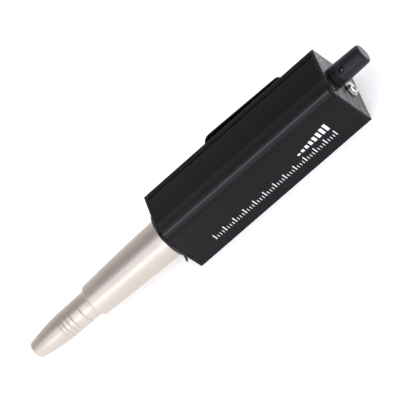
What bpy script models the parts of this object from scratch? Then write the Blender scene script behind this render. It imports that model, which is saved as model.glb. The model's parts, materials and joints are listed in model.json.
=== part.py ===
"""Pocket headphone amplifier: a square case with a belt clip, a volume knob and a headphone jack on one end
plate, and a three-pin audio socket on the other, with its cable plug in it.

The case lies along X, with the knob towards +X and the plug towards -X. The front face is -Y, the belt clip
is on +Y, and the case rests on its -Z face at z = 0. Everything is laid out around the case's own axis.
"""

from math import cos, pi, radians, sin

import bmesh
import bpy
from mathutils import Vector

MM = 0.001

# Clearances
FIT = 0.3 * MM  # between round or cut neighbours
SEAM = 0.1 * MM  # between flat faces that lie on each other
THROUGH = 1 * MM  # how far a cutter runs past the face that it opens

# Case
CASE_LENGTH = 102 * MM
CASE_SIDE = 28 * MM
WALL = 1.5 * MM
CORNER_RADIUS = 5 * MM
COVER_THICKNESS = 2 * MM
PLATE_THICKNESS = 1.5 * MM
POST_LENGTH = 7 * MM
COVER_POST_LENGTH = 14 * MM

# Screws
SCREW_INSET = 3.6 * MM  # from the case's sides to an end plate screw's axis
SCREW_LENGTH = 7 * MM
COVER_SCREW_LENGTH = 5 * MM
COVER_SCREW_SETBACK = 3 * MM  # from a long post's inner end
SHANK_RADIUS = 0.8 * MM
HEAD_RADIUS = 1.9 * MM
HEAD_DEPTH = 1.1 * MM
POST_RADIUS = HEAD_RADIUS
PILOT_RADIUS = SHANK_RADIUS + FIT

# Circuit board, in rails along the case's side walls
BOARD_THICKNESS = 1.6 * MM
BOARD_CENTRE_Y = -6.2 * MM
RAIL_THICKNESS = 0.9 * MM
RAIL_DEPTH = 1.3 * MM
BOARD_SETBACK = 2.5 * MM  # from the socket's inner end

# Batteries
CELL_RADIUS = 5.2 * MM
CELL_LENGTH = 44.5 * MM
CELL_NIPPLE = 1 * MM
CELL_NIPPLE_RADIUS = 2.6 * MM
HOLDER_WALL = 1 * MM
HOLDER_CENTRE_X = 7 * MM
HOLDER_RISE = 9 * MM
TERMINAL_LENGTH = 1.8 * MM
TERMINAL_INSET = 1 * MM
LEAD_SPREAD = 1.6 * MM
BRIDGE_THICKNESS = 0.5 * MM

# Volume knob
KNOB_Z = 5.4 * MM
KNOB_RADIUS = 5.05 * MM
KNOB_END_RADIUS = 4.7 * MM
KNOB_HEIGHT = 17.6 * MM
KNOB_BASE_HEIGHT = 3.2 * MM
KNOB_CHAMFER = 0.45 * MM
SHAFT_RADIUS = 3 * MM
SHAFT_REACH = 12.2 * MM
SET_SCREW_HEIGHT = 5.9 * MM
SET_SCREW_RADIUS = 1.1 * MM
SET_SCREW_ANGLE = 29  # degrees from +Z towards the front face
POT_SIDE = 9.6 * MM
POT_LENGTH = 8 * MM
POT_BORE_DEPTH = 5.2 * MM
POT_BUSHING_RADIUS = 4.2 * MM
POT_BUSHING_LENGTH = 3 * MM

# Headphone jack
JACK_Z = -5.6 * MM
JACK_BUSHING_RADIUS = 3 * MM
JACK_REACH = 2.7 * MM
JACK_BORE_RADIUS = 1.8 * MM
JACK_BORE_DEPTH = 15 * MM
JACK_WIDTH = 7 * MM
JACK_HEIGHT = 8.7 * MM
JACK_LENGTH = 12 * MM
JACK_NUT_RADIUS = 4 * MM
JACK_NUT_HEIGHT = 1.6 * MM

# Plug: lengths are measured outwards from the case's socket end face
PLUG_START = 2.2 * MM
PLUG_SHELL_END = 48.9 * MM
PLUG_STEP = 0.4 * MM  # that the shell stands proud of its nose
PLUG_REAR_RADIUS = 8.05 * MM
PLUG_BULGE = 0.22 * MM
PLUG_SHOULDER = 1 * MM
PLUG_COLLAR_LENGTH = 7 * MM
PLUG_SHELL_STEPS = 6
NOSE_RADIUS = 9.3 * MM
NOSE_WALL = 1.2 * MM
NOSE_LENGTH = 17.2 * MM
PLUG_BORE_RADIUS = 7.5 * MM
INSERT_START = 2.5 * MM
INSERT_THICKNESS = 5.4 * MM
PIN_RADIUS = 1.2 * MM
PIN_LENGTH = 24 * MM
PIN_TAIL = 3.3 * MM
LATCH_DIRECTION = 225  # degrees about +X from +Y, towards the front resting edge
PIN_SPREAD = 70  # degrees from the latch's direction to the two pins beside it
PIN_ANGLES = (LATCH_DIRECTION - PIN_SPREAD, LATCH_DIRECTION + PIN_SPREAD, LATCH_DIRECTION + 180)

# Strain relief boot of the plug
BOOT_INSERTION = 5.4 * MM
BOOT_RADIUS = 6.63 * MM
BOOT_TAPER = 0.18 * MM  # from its step to its waist
BOOT_END_RADIUS = 4.16 * MM
BOOT_WAIST = 63 * MM
BOOT_END = 85.2 * MM
BOOT_ROUNDING = 0.8 * MM
BOOT_BORE_RADIUS = 3.1 * MM
BOOT_CHAMBER_RADIUS = 5 * MM
BOOT_CHAMBER_END = 70 * MM
BOOT_STEPS = 5
GROOVE_PLACES = [54.8 * MM, 60.3 * MM, 62.8 * MM, 65.2 * MM, 67.2 * MM]
GROOVE_WIDTH = 0.8 * MM
GROOVE_DEPTH = 0.35 * MM
GROOVE_SHAPE = ((-0.5, 0), (-0.25, 1), (0.25, 1), (0.5, 0))  # shares of its width and depth
CLAMP_LENGTH = 20 * MM
CLAMP_SLOT = 1.2 * MM
CLAMP_SLOT_LENGTH = 12 * MM

# Socket in the end plate
RING_LIP = 1.4 * MM  # that the ring stands out past the socket's tube
RING_HEIGHT = 1.9 * MM
RING_ROUNDING = 0.4 * MM
SOCKET_WALL = 1.2 * MM
SOCKET_DEPTH = 22 * MM
STEM_FLANGE = 3.7 * MM
CONTACT_RADIUS = 1.8 * MM
CONTACT_INSET = 1.4 * MM  # of insert outside a contact
CONTACT_FLOOR = 1.2 * MM
CONTACT_BORE_RADIUS = PIN_RADIUS + 0.25 * MM
CONTACT_LENGTH = 14.7 * MM
TAIL_RADIUS = 0.6 * MM
TAIL_LENGTH = 8.7 * MM
INPUT_WIRE_RUN = 5.5 * MM
INPUT_WIRE_BENDS = ((0, 0), (0.36, 0.05), (0.82, 0.6), (1, 1))  # shares of its run and its drop
INPUT_WIRE_CLOSING = 0.1  # share that the wires close in on the board

# Release latch, a strip in a slot of the socket with its tab flared outwards
LATCH_WIDTH = 5 * MM
LATCH_THICKNESS = 0.6 * MM
LATCH_INSET = 0.25 * MM  # from the socket's bore to the strip
LATCH_DEPTH = 13 * MM
LATCH_TRAVEL = 1.2 * MM
TAB_START = 1.9 * MM
TAB_RISE = 2 * MM  # of the tab's tip above the ring
TAB_REACH = 4.2 * MM

# Belt clip
CLIP_THICKNESS = 1 * MM
CLIP_HALF_WIDTH = 10.5 * MM
CLIP_FREE_END = -17.4 * MM
CLIP_BEND_X = 27.5 * MM
CLIP_RISE = 6.2 * MM  # outside of the arm above the cover, at the bend
CLIP_TILT = 1.9  # degrees that the arm opens towards its free end
CLIP_GAP_ANGLE = 12  # degrees left open in the bend, where the arm flexes
CLIP_LIP_RADIUS = 2.5 * MM
CLIP_LIP_ANGLE = 75
CLIP_CORNER_RADIUS = 6 * MM
CLIP_BASE_START = 5 * MM
CLIP_SCREW_PLACES = (11 * MM, 22 * MM)
CLIP_SCREW_HEAD = 1.2 * MM
CLIP_SCREW_HEAD_TAPER = 0.8
CLIP_SCREW_BITE = 0.8 * MM  # that a clip screw reaches into the clip's base

# Small parts under the board. Chips: x, z, length and width. Capacitors and inductor: x and z.
CHIP_HEIGHT = 1.8 * MM
CHIPS = {
    "amplifier_chip": (28 * MM, 3 * MM, 10 * MM, 4 * MM),
    "preamplifier_chip": (6 * MM, -3 * MM, 5 * MM, 4 * MM),
}
CAPACITOR_RADIUS = 2.5 * MM
CAPACITOR_HEIGHT = 4.6 * MM
CAPACITORS = [(-19 * MM, 5 * MM), (-19 * MM, -5 * MM), (17 * MM, 5 * MM), (17 * MM, -5 * MM)]
INDUCTOR_SIDE = 6 * MM
INDUCTOR_HEIGHT = 3.4 * MM
INDUCTOR_PLACE = (-6 * MM, 2 * MM)
WIRE_RADIUS = 0.45 * MM

# Worked out from the sizes above
HALF = CASE_SIDE / 2
FACE_X = CASE_LENGTH / 2
INNER_X = FACE_X - PLATE_THICKNESS  # inner faces of the end plates
COVER_INNER_Y = HALF - COVER_THICKNESS
SCREW_OFFSET = HALF - SCREW_INSET
POST_ROOT = HALF - WALL / 2
BOARD_TOP_Y = BOARD_CENTRE_Y + BOARD_THICKNESS / 2
BOARD_BOTTOM_Y = BOARD_CENTRE_Y - BOARD_THICKNESS / 2
SOCKET_BORE_RADIUS = NOSE_RADIUS + FIT
SOCKET_RADIUS = SOCKET_BORE_RADIUS + SOCKET_WALL
RING_RADIUS = SOCKET_RADIUS + RING_LIP
NOSE_BORE_RADIUS = NOSE_RADIUS - NOSE_WALL
PLUG_FRONT_RADIUS = NOSE_RADIUS + PLUG_STEP
STEM_RADIUS = NOSE_BORE_RADIUS - FIT
PIN_CIRCLE_RADIUS = STEM_RADIUS - CONTACT_INSET - CONTACT_RADIUS
LATCH_INNER_RADIUS = SOCKET_BORE_RADIUS + LATCH_INSET
TAB_RADIUS = RING_RADIUS + TAB_RISE
HOLDER_HALF_LENGTH = (CELL_LENGTH + TERMINAL_LENGTH + BRIDGE_THICKNESS) / 2 + 2 * FIT + HOLDER_WALL
HOLDER_FLOOR_Y = BOARD_TOP_Y + FIT + HOLDER_WALL
CELL_Y = HOLDER_FLOOR_Y + FIT + CELL_RADIUS
CELL_Z = CELL_RADIUS + FIT / 2
CLIP_BASE_Y = HALF + SEAM
CLIP_BEND_RADIUS = (HALF + CLIP_RISE - CLIP_BASE_Y) / 2
CLIP_BEND_Y = CLIP_BASE_Y + CLIP_BEND_RADIUS
BOOT_WAIST_RADIUS = BOOT_RADIUS - BOOT_TAPER
TERMINAL_RADIUS = CELL_RADIUS - TERMINAL_INSET

# Steps round a circle
ROUND = 24
SMALL = 12

# Colour, roughness and metallic of each finish
FINISHES = {
    "black_case": ((0.018, 0.018, 0.020, 1), 0.42, 0.3),
    "black_plate": ((0.022, 0.022, 0.024, 1), 0.35, 0.3),
    "black_clip": ((0.012, 0.012, 0.012, 1), 0.45, 0.2),
    "black_socket": ((0.015, 0.015, 0.016, 1), 0.35, 0.1),
    "knob_plastic": ((0.028, 0.028, 0.034, 1), 0.55, 0.0),
    "black_plastic": ((0.012, 0.012, 0.012, 1), 0.6, 0.0),
    "satin_nickel": ((0.72, 0.68, 0.63, 1), 0.28, 1.0),
    "bright_nickel": ((0.75, 0.74, 0.72, 1), 0.2, 1.0),
    "brass": ((0.70, 0.52, 0.24, 1), 0.3, 1.0),
    "steel": ((0.45, 0.45, 0.46, 1), 0.4, 1.0),
    "board_green": ((0.02, 0.12, 0.05, 1), 0.5, 0.0),
    "cell_wrap": ((0.10, 0.16, 0.28, 1), 0.4, 0.0),
    "capacitor_can": ((0.62, 0.62, 0.64, 1), 0.35, 0.9),
    "wire_red": ((0.45, 0.03, 0.03, 1), 0.5, 0.0),
    "wire_black": ((0.02, 0.02, 0.02, 1), 0.5, 0.0),
    "wire_white": ((0.70, 0.70, 0.68, 1), 0.5, 0.0),
}

# Turns that stand an outline's plane across X, Y or Z, in degrees
ACROSS_X = (90, 0, 90)
ACROSS_Y = (90, 0, 0)
FLIP_X = (0, 0, 180)  # a turned piece's +X becomes -X
POINT_UP_Y = (0, 0, 90)  # a turned piece's +X becomes +Y

for old in list(bpy.data.objects):
    bpy.data.objects.remove(old)

parts = bpy.data.collections.new("headphone_amplifier")
tools = bpy.data.collections.new("cutters")
bpy.context.scene.collection.children.link(parts)
bpy.context.scene.collection.children.link(tools)


# Helpers


def material(finish):
    """The Principled material of a finish, made once."""
    made = bpy.data.materials.get(finish)
    if made is None:
        made = bpy.data.materials.new(finish)
        made.use_nodes = True
        colour, roughness, metallic = FINISHES[finish]
        shader = made.node_tree.nodes["Principled BSDF"]
        shader.inputs["Base Color"].default_value = colour
        shader.inputs["Roughness"].default_value = roughness
        shader.inputs["Metallic"].default_value = metallic
    return made


def add(name, data, finish, at, turn, parent):
    """An object for a part, or for a cutter where finish is None."""
    piece = bpy.data.objects.new(name, data)
    piece.location = at
    piece.rotation_euler = [radians(angle) for angle in turn]
    piece.parent = parent
    if finish is None:
        tools.objects.link(piece)
        piece.hide_render = True
        piece.display_type = "WIRE"
    else:
        parts.objects.link(piece)
        data.materials.append(material(finish))
    return piece


def axis_empty(name, at, parent=None):
    """An empty that pieces are placed around."""
    empty = bpy.data.objects.new(name, None)
    empty.location = at
    empty.parent = parent
    empty.empty_display_size = CASE_SIDE / 4
    parts.objects.link(empty)
    return empty


def arc(centre, radius, start, end, steps=6):
    """Points of a round stretch, between two angles in degrees."""
    angles = [radians(start + (end - start) * i / steps) for i in range(steps + 1)]
    return [(centre[0] + radius * cos(a), centre[1] + radius * sin(a)) for a in angles]


def turned(name, profile, finish, parent, at=(0, 0, 0), turn=(0, 0, 0), steps=ROUND):
    """A shape turned about its own X. The profile's (along, radius) points run from +X to -X outside."""
    count = len(profile)
    edges = [(i, i + 1) for i in range(count - 1)]
    if profile[0][1] > 0:
        edges.append((count - 1, 0))
    mesh = bpy.data.meshes.new(name)
    mesh.from_pydata([(along, radius, 0) for along, radius in profile], edges, [])
    piece = add(name, mesh, finish, at, turn, parent)
    screw = piece.modifiers.new("turn", "SCREW")
    screw.axis = "X"
    screw.angle = 2 * pi
    screw.steps = screw.render_steps = steps
    screw.use_merge_vertices = True
    screw.merge_threshold = 1e-6
    screw.use_smooth_shade = True
    return piece


def extruded(name, outline, depth, finish, parent, at=(0, 0, 0), turn=(0, 0, 0)):
    """A flat outline given a depth, half of it to each side of its plane."""
    curve = bpy.data.curves.new(name, "CURVE")
    curve.dimensions = "2D"
    curve.fill_mode = "BOTH"
    curve.extrude = depth / 2
    spline = curve.splines.new("POLY")
    spline.points.add(len(outline) - 1)
    for point, place in zip(spline.points, outline):
        point.co = (*place, 0, 1)
    spline.use_cyclic_u = True
    drawn = bpy.data.objects.new(name, curve)
    tools.objects.link(drawn)
    mesh = bpy.data.meshes.new_from_object(drawn.evaluated_get(bpy.context.evaluated_depsgraph_get()))
    bpy.data.objects.remove(drawn)
    shape = bmesh.new()
    shape.from_mesh(mesh)
    bmesh.ops.remove_doubles(shape, verts=shape.verts, dist=1e-6)
    bmesh.ops.recalc_face_normals(shape, faces=shape.faces)
    shape.to_mesh(mesh)
    shape.free()
    mesh.name = name
    return add(name, mesh, finish, at, turn, parent)


def block(name, low, high, finish, parent, at=(0, 0, 0), turn=(0, 0, 0)):
    """A box between two corners."""
    shape = bmesh.new()
    bmesh.ops.create_cube(shape, size=1)
    low, high = Vector(low), Vector(high)
    bmesh.ops.scale(shape, vec=high - low, verts=shape.verts)
    bmesh.ops.translate(shape, vec=(low + high) / 2, verts=shape.verts)
    mesh = bpy.data.meshes.new(name)
    shape.to_mesh(mesh)
    shape.free()
    return add(name, mesh, finish, at, turn, parent)


def boolean(piece, operation, others):
    """Join tool shapes to a piece, or cut them from it, in one modifier."""
    group = bpy.data.collections.new(f"{piece.name}_{operation.lower()}")
    tools.children.link(group)
    for other in others:
        tools.objects.unlink(other)
        group.objects.link(other)
    modifier = piece.modifiers.new(operation.lower(), "BOOLEAN")
    modifier.operation = operation
    modifier.operand_type = "COLLECTION"
    modifier.collection = group
    modifier.solver = "EXACT"


def hole(name, radius, high, low, parent, at=(0, 0, 0), turn=(0, 0, 0), steps=SMALL):
    """A round cutter along its own X, from high down to low."""
    profile = [(high, 0), (high, radius), (low, radius), (low, 0)]
    return turned(name, profile, None, parent, at, turn, steps)


def screw_part(name, length, parent, at, turn):
    """A countersunk screw with its head's face at its origin, pointing along -X."""
    profile = [(0, 0), (0, HEAD_RADIUS), (-HEAD_DEPTH, SHANK_RADIUS), (-length, SHANK_RADIUS), (-length, 0)]
    return turned(name, profile, "bright_nickel", parent, at, turn, SMALL)


def screw_hole(name, depth, parent, at, turn):
    """The countersunk hole that a screw passes through."""
    head = HEAD_RADIUS + FIT
    profile = [(THROUGH, 0), (THROUGH, head), (0, head), (-HEAD_DEPTH, PILOT_RADIUS)]
    profile += [(-depth - THROUGH, PILOT_RADIUS), (-depth - THROUGH, 0)]
    return turned(name, profile, None, parent, at, turn, SMALL)


def smooth_route(points, between=3):
    """Points along a Catmull-Rom curve through a wire's own points."""
    ends = [points[0], *points, points[-1]]
    route = []
    for a, b, c, d in zip(ends, ends[1:], ends[2:], ends[3:]):
        a, b, c, d = Vector(a), Vector(b), Vector(c), Vector(d)
        for step in range(between):
            t = step / between
            route.append(b + (c - a) * t / 2 + (a - 2.5 * b + 2 * c - d / 2) * t**2
                         + (1.5 * b - a / 2 - 1.5 * c + d / 2) * t**3)
    return route + [Vector(points[-1])]


def wire(name, points, finish, parent):
    """A round insulated wire along its route."""
    curve = bpy.data.curves.new(name, "CURVE")
    curve.dimensions = "3D"
    curve.bevel_depth = WIRE_RADIUS
    curve.bevel_resolution = 1
    curve.use_fill_caps = True
    route = smooth_route(points)
    spline = curve.splines.new("POLY")
    spline.points.add(len(route) - 1)
    for point, place in zip(spline.points, route):
        point.co = (*place, 1)
    return add(name, curve, finish, (0, 0, 0), (0, 0, 0), parent)


# Case


def case_outline():
    """The end plates' outline across X, with the front upper edge rounded."""
    centre = (CORNER_RADIUS - HALF, HALF - CORNER_RADIUS)
    return [(HALF, HALF), *arc(centre, CORNER_RADIUS, 90, 180), (-HALF, -HALF), (HALF, -HALF)]


def rail_points(side):
    """The two rails that hold a board edge, on the wall at z = side * (HALF - WALL), from -Y to +Y."""
    wall = side * (HALF - WALL)
    edge = side * (HALF - WALL - RAIL_DEPTH)
    low = BOARD_BOTTOM_Y - SEAM
    high = BOARD_TOP_Y + SEAM
    ends = [low - RAIL_THICKNESS, low, high, high + RAIL_THICKNESS]
    depths = [(wall, edge), (edge, wall), (wall, edge), (edge, wall)]
    return [(y, z) for y, pair in zip(ends, depths) for z in pair]


def channel_outline():
    """Three walls with the board's rails, open towards the cover."""
    centre = (CORNER_RADIUS - HALF, HALF - CORNER_RADIUS)
    top = COVER_INNER_Y - SEAM
    inner = HALF - WALL
    outline = [(top, HALF), *arc(centre, CORNER_RADIUS, 90, 180), (-HALF, -HALF), (top, -HALF), (top, -inner)]
    outline += reversed(rail_points(-1))
    outline += [(-inner, -inner), *arc(centre, CORNER_RADIUS - WALL, 180, 90)]
    outline += rail_points(1)
    return outline + [(top, inner)]


def post_outline(side_y, side_z):
    """A screw post's outline: square towards the walls and round towards the case's axis."""
    near = SCREW_OFFSET - POST_RADIUS
    far_y = COVER_INNER_Y - 2 * SEAM if side_y > 0 else POST_ROOT
    corner = [(far_y, POST_ROOT)]
    if (side_y, side_z) == (-1, 1):
        corner = [(SCREW_OFFSET, POST_ROOT), (POST_ROOT, SCREW_OFFSET)]
    points = [(far_y, near), *arc((SCREW_OFFSET, SCREW_OFFSET), POST_RADIUS, 270, 180, 4), (near, POST_ROOT)]
    return [(side_y * y, side_z * z) for y, z in points + corner]


def case_corners():
    """Each end and corner: its number, the end's sign, and the corner's signs in y and z."""
    sides = [(1, 1), (1, -1), (-1, -1), (-1, 1)]
    return [(number + 1, end, *side) for end in (1, -1) for number, side in enumerate(sides)]


def end_turn(end):
    """The turn that points a turned piece's +X out of that end."""
    return (0, 0, 0) if end > 0 else FLIP_X


def build_channel(case):
    end_x = INNER_X - SEAM
    channel = extruded("case_channel", channel_outline(), 2 * end_x, "black_case", case, turn=ACROSS_X)
    posts, pilots = [], []
    for number, end, side_y, side_z in case_corners():
        label = f"{number}_{'knob' if end > 0 else 'socket'}"
        length = COVER_POST_LENGTH if side_y > 0 else POST_LENGTH
        middle = (end * (end_x - FIT - length / 2), 0, 0)
        outline = post_outline(side_y, side_z)
        posts.append(extruded(f"post_{label}", outline, length, None, case, middle, ACROSS_X))
        place = (end * end_x, side_y * SCREW_OFFSET, side_z * SCREW_OFFSET)
        depth = SCREW_LENGTH - PLATE_THICKNESS + FIT
        pilots.append(hole(f"pilot_{label}", PILOT_RADIUS, THROUGH, -depth, case, place, end_turn(end)))
    for number, place in enumerate(cover_screw_places()):
        depth = COVER_SCREW_LENGTH + FIT
        pilots.append(hole(f"cover_pilot_{number + 1}", PILOT_RADIUS, 0, -depth, case, place, POINT_UP_Y))
    boolean(channel, "UNION", posts)
    boolean(channel, "DIFFERENCE", pilots)


def cover_screw_places():
    """Where the cover screws' heads lie, over the inner ends of the long posts."""
    reach = INNER_X - COVER_POST_LENGTH + COVER_SCREW_SETBACK
    return [(end * reach, HALF, side * SCREW_OFFSET) for end in (-1, 1) for side in (-1, 1)]


def build_cover(case):
    half_length = INNER_X - SEAM
    low, high = (-half_length, COVER_INNER_Y, -HALF), (half_length, HALF, HALF)
    cover = block("back_cover", low, high, "black_case", case)
    holes = []
    for number, place in enumerate(cover_screw_places()):
        holes.append(screw_hole(f"cover_hole_{number + 1}", COVER_THICKNESS, case, place, POINT_UP_Y))
        screw_part(f"cover_screw_{number + 1}", COVER_SCREW_LENGTH, case, place, POINT_UP_Y)
    for number, x in enumerate(CLIP_SCREW_PLACES):
        place = (x, HALF, 0)
        depth = COVER_THICKNESS + THROUGH
        holes.append(hole(f"clip_hole_{number + 1}", PILOT_RADIUS, THROUGH, -depth, case, place, POINT_UP_Y))
    boolean(cover, "DIFFERENCE", holes)


def build_end_plates(case):
    middle = FACE_X - PLATE_THICKNESS / 2
    names = {1: "knob_end_plate", -1: "socket_end_plate"}
    openings = {1: [], -1: []}
    for end, name in names.items():
        place = (end * middle, 0, 0)
        plate = extruded(name, case_outline(), PLATE_THICKNESS, "black_plate", case, place, ACROSS_X)
        names[end] = plate
    for number, end, side_y, side_z in case_corners():
        prefix = "knob_plate_screw" if end > 0 else "socket_plate_screw"
        place = (end * FACE_X, side_y * SCREW_OFFSET, side_z * SCREW_OFFSET)
        screw_part(f"{prefix}_{number}", SCREW_LENGTH, case, place, end_turn(end))
        name = f"{prefix}_hole_{number}"
        openings[end].append(screw_hole(name, PLATE_THICKNESS, case, place, end_turn(end)))
    through = PLATE_THICKNESS + THROUGH
    for name, radius, z, end in (
        ("shaft_opening", SHAFT_RADIUS + 2 * FIT, KNOB_Z, 1),
        ("jack_opening", JACK_BUSHING_RADIUS + FIT, JACK_Z, 1),
        ("socket_opening", SOCKET_RADIUS + FIT, 0, -1),
    ):
        place = (end * FACE_X, 0, z)
        openings[end].append(hole(name, radius, THROUGH, -through, case, place, end_turn(end), ROUND))
    for end, plate in names.items():
        boolean(plate, "DIFFERENCE", openings[end])


# Belt clip


def clip_strip(start, end, along):
    """Half of the clip's strip seen from the side: a stretch of its bend and then a straight part."""
    outer = CLIP_BEND_RADIUS
    inner = CLIP_BEND_RADIUS - CLIP_THICKNESS
    return arc((0, 0), outer, start, end) + along + arc((0, 0), inner, end, start)


def rounded_plan(low, high, half_width, radius):
    """A plan outline in x and z whose corners at the low end are rounded."""
    edge = half_width - radius
    corners = arc((low + radius, -edge), radius, 270, 180) + arc((low + radius, edge), radius, 180, 90)
    return [(high, -half_width), *corners, (high, half_width)]


def build_clip(case):
    width = 2 * CLIP_HALF_WIDTH
    hinge = axis_empty("clip_hinge", (CLIP_BEND_X, CLIP_BEND_Y, 0), case)

    start = CLIP_BASE_START - CLIP_BEND_X
    under = -CLIP_BEND_RADIUS
    flat = [(start, under), (start, under + CLIP_THICKNESS)]
    outline = clip_strip(-CLIP_GAP_ANGLE, -90, flat)
    place = (CLIP_BEND_X, CLIP_BEND_Y, 0)
    base = extruded("clip_base", outline, width, "black_clip", case, place)
    screw_holes = []
    for number, x in enumerate(CLIP_SCREW_PLACES):
        hole_place = (x, CLIP_BASE_Y, 0)
        depth = 2 * THROUGH + CLIP_THICKNESS
        name = f"clip_base_hole_{number + 1}"
        screw_holes.append(hole(name, PILOT_RADIUS, depth, -THROUGH, case, hole_place, POINT_UP_Y))
        head_top = COVER_INNER_Y - SEAM / 2
        shank = COVER_THICKNESS + SEAM / 2 + SEAM + CLIP_SCREW_BITE
        profile = [(shank, 0), (shank, SHANK_RADIUS), (0, SHANK_RADIUS), (0, HEAD_RADIUS)]
        profile += [(-CLIP_SCREW_HEAD, HEAD_RADIUS * CLIP_SCREW_HEAD_TAPER), (-CLIP_SCREW_HEAD, 0)]
        name = f"clip_screw_{number + 1}"
        turned(name, profile, "bright_nickel", case, (x, head_top, 0), POINT_UP_Y, SMALL)
    boolean(base, "DIFFERENCE", screw_holes)

    tilt = radians(CLIP_TILT)
    lip_x = CLIP_FREE_END + CLIP_LIP_RADIUS - CLIP_BEND_X
    run = -lip_x / cos(tilt)
    top = (-run * cos(tilt) + CLIP_BEND_RADIUS * sin(tilt), run * sin(tilt) + CLIP_BEND_RADIUS * cos(tilt))
    centre = (top[0] - CLIP_LIP_RADIUS * sin(tilt), top[1] - CLIP_LIP_RADIUS * cos(tilt))
    first, last = 90 - CLIP_TILT, 90 - CLIP_TILT + CLIP_LIP_ANGLE
    lip = arc(centre, CLIP_LIP_RADIUS, first, last)
    lip += arc(centre, CLIP_LIP_RADIUS - CLIP_THICKNESS, last, first)
    outline = clip_strip(0, 90 - CLIP_TILT, lip)
    arm = extruded("clip_arm", outline, width, "black_clip", hinge)
    plan = rounded_plan(
        CLIP_FREE_END - CLIP_BEND_X - THROUGH, 2 * CLIP_BEND_RADIUS, CLIP_HALF_WIDTH, CLIP_CORNER_RADIUS)
    height = 4 * CLIP_RISE
    guide = extruded("clip_plan", plan, height, None, hinge, (THROUGH, 0, 0), ACROSS_Y)
    boolean(arm, "INTERSECT", [guide])


# Circuit board, batteries and small parts


def build_board(case):
    half_width = HALF - WALL - FIT
    low_x = SOCKET_DEPTH - FACE_X + BOARD_SETBACK
    high_x = INNER_X - 2 * FIT
    low = (low_x, BOARD_BOTTOM_Y, -half_width)
    high = (high_x, BOARD_TOP_Y, half_width)
    block("circuit_board", low, high, "board_green", case)
    top = BOARD_BOTTOM_Y - SEAM
    for name, (x, z, length, width) in CHIPS.items():
        low = (x - length / 2, top - CHIP_HEIGHT, z - width / 2)
        high = (x + length / 2, top, z + width / 2)
        block(name, low, high, "black_plastic", case)
    for number, (x, z) in enumerate(CAPACITORS):
        profile = [(0, 0), (0, CAPACITOR_RADIUS)]
        profile += [(-CAPACITOR_HEIGHT, CAPACITOR_RADIUS), (-CAPACITOR_HEIGHT, 0)]
        name = f"capacitor_{number + 1}"
        turned(name, profile, "capacitor_can", case, (x, top, z), POINT_UP_Y, SMALL)
    x, z = INDUCTOR_PLACE
    half = INDUCTOR_SIDE / 2
    low = (x - half, top - INDUCTOR_HEIGHT, z - half)
    block("inductor", low, (x + half, top, z + half), "black_plastic", case)


def build_batteries(case):
    middle = HOLDER_CENTRE_X
    half = HOLDER_HALF_LENGTH
    floor = HOLDER_FLOOR_Y
    bottom = floor - HOLDER_WALL
    rim = bottom + HOLDER_RISE
    inner = half - HOLDER_WALL
    outline = [(-half, bottom), (half, bottom), (half, rim), (inner, rim), (inner, floor), (-inner, floor)]
    outline += [(-inner, rim), (-half, rim)]
    width = 2 * (CELL_Z + CELL_RADIUS)
    extruded("battery_holder", outline, width, "black_plastic", case, (middle, 0, 0))

    bridge_x = middle + inner - SEAM
    low = (bridge_x - BRIDGE_THICKNESS, floor + SEAM, -CELL_Z - CELL_RADIUS / 2)
    high = (bridge_x, CELL_Y + CELL_RADIUS / 2, CELL_Z + CELL_RADIUS / 2)
    block("battery_bridge", low, high, "bright_nickel", case)

    cell_high = bridge_x - BRIDGE_THICKNESS - FIT
    cell_low = cell_high - CELL_LENGTH
    shoulder = CELL_LENGTH / 2 - CELL_NIPPLE
    nipple = CELL_NIPPLE_RADIUS
    cell = [(CELL_LENGTH / 2, 0), (CELL_LENGTH / 2, nipple), (shoulder, nipple), (shoulder, CELL_RADIUS)]
    cell += [(-CELL_LENGTH / 2, CELL_RADIUS), (-CELL_LENGTH / 2, 0)]
    terminal_face = cell_low - FIT
    terminal_back = middle - inner + SEAM
    step = (terminal_face + terminal_back) / 2
    terminal = [(terminal_face, 0), (terminal_face, nipple), (step, nipple), (step, TERMINAL_RADIUS)]
    terminal += [(terminal_back, TERMINAL_RADIUS), (terminal_back, 0)]
    for number, side in enumerate((1, -1)):
        axis = (0, CELL_Y, side * CELL_Z)
        cell_at = ((cell_high + cell_low) / 2, *axis[1:])
        turned(f"battery_cell_{number + 1}", cell, "cell_wrap", case, cell_at, end_turn(side))
        turned(f"battery_terminal_{number + 1}", terminal, "bright_nickel", case, axis, steps=SMALL)
        lead_x = middle - half - WIRE_RADIUS - FIT
        z = side * CELL_Z
        landing_y = BOARD_TOP_Y + WIRE_RADIUS + FIT
        spread = side * LEAD_SPREAD
        route = [(lead_x, CELL_Y, z), (lead_x, (CELL_Y + landing_y) / 2, z + spread / 3),
                 (lead_x - WIRE_RADIUS, landing_y, z + spread)]
        wire(f"battery_lead_{number + 1}", route, "wire_red" if side > 0 else "wire_black", case)


# Volume control and headphone jack


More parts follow.
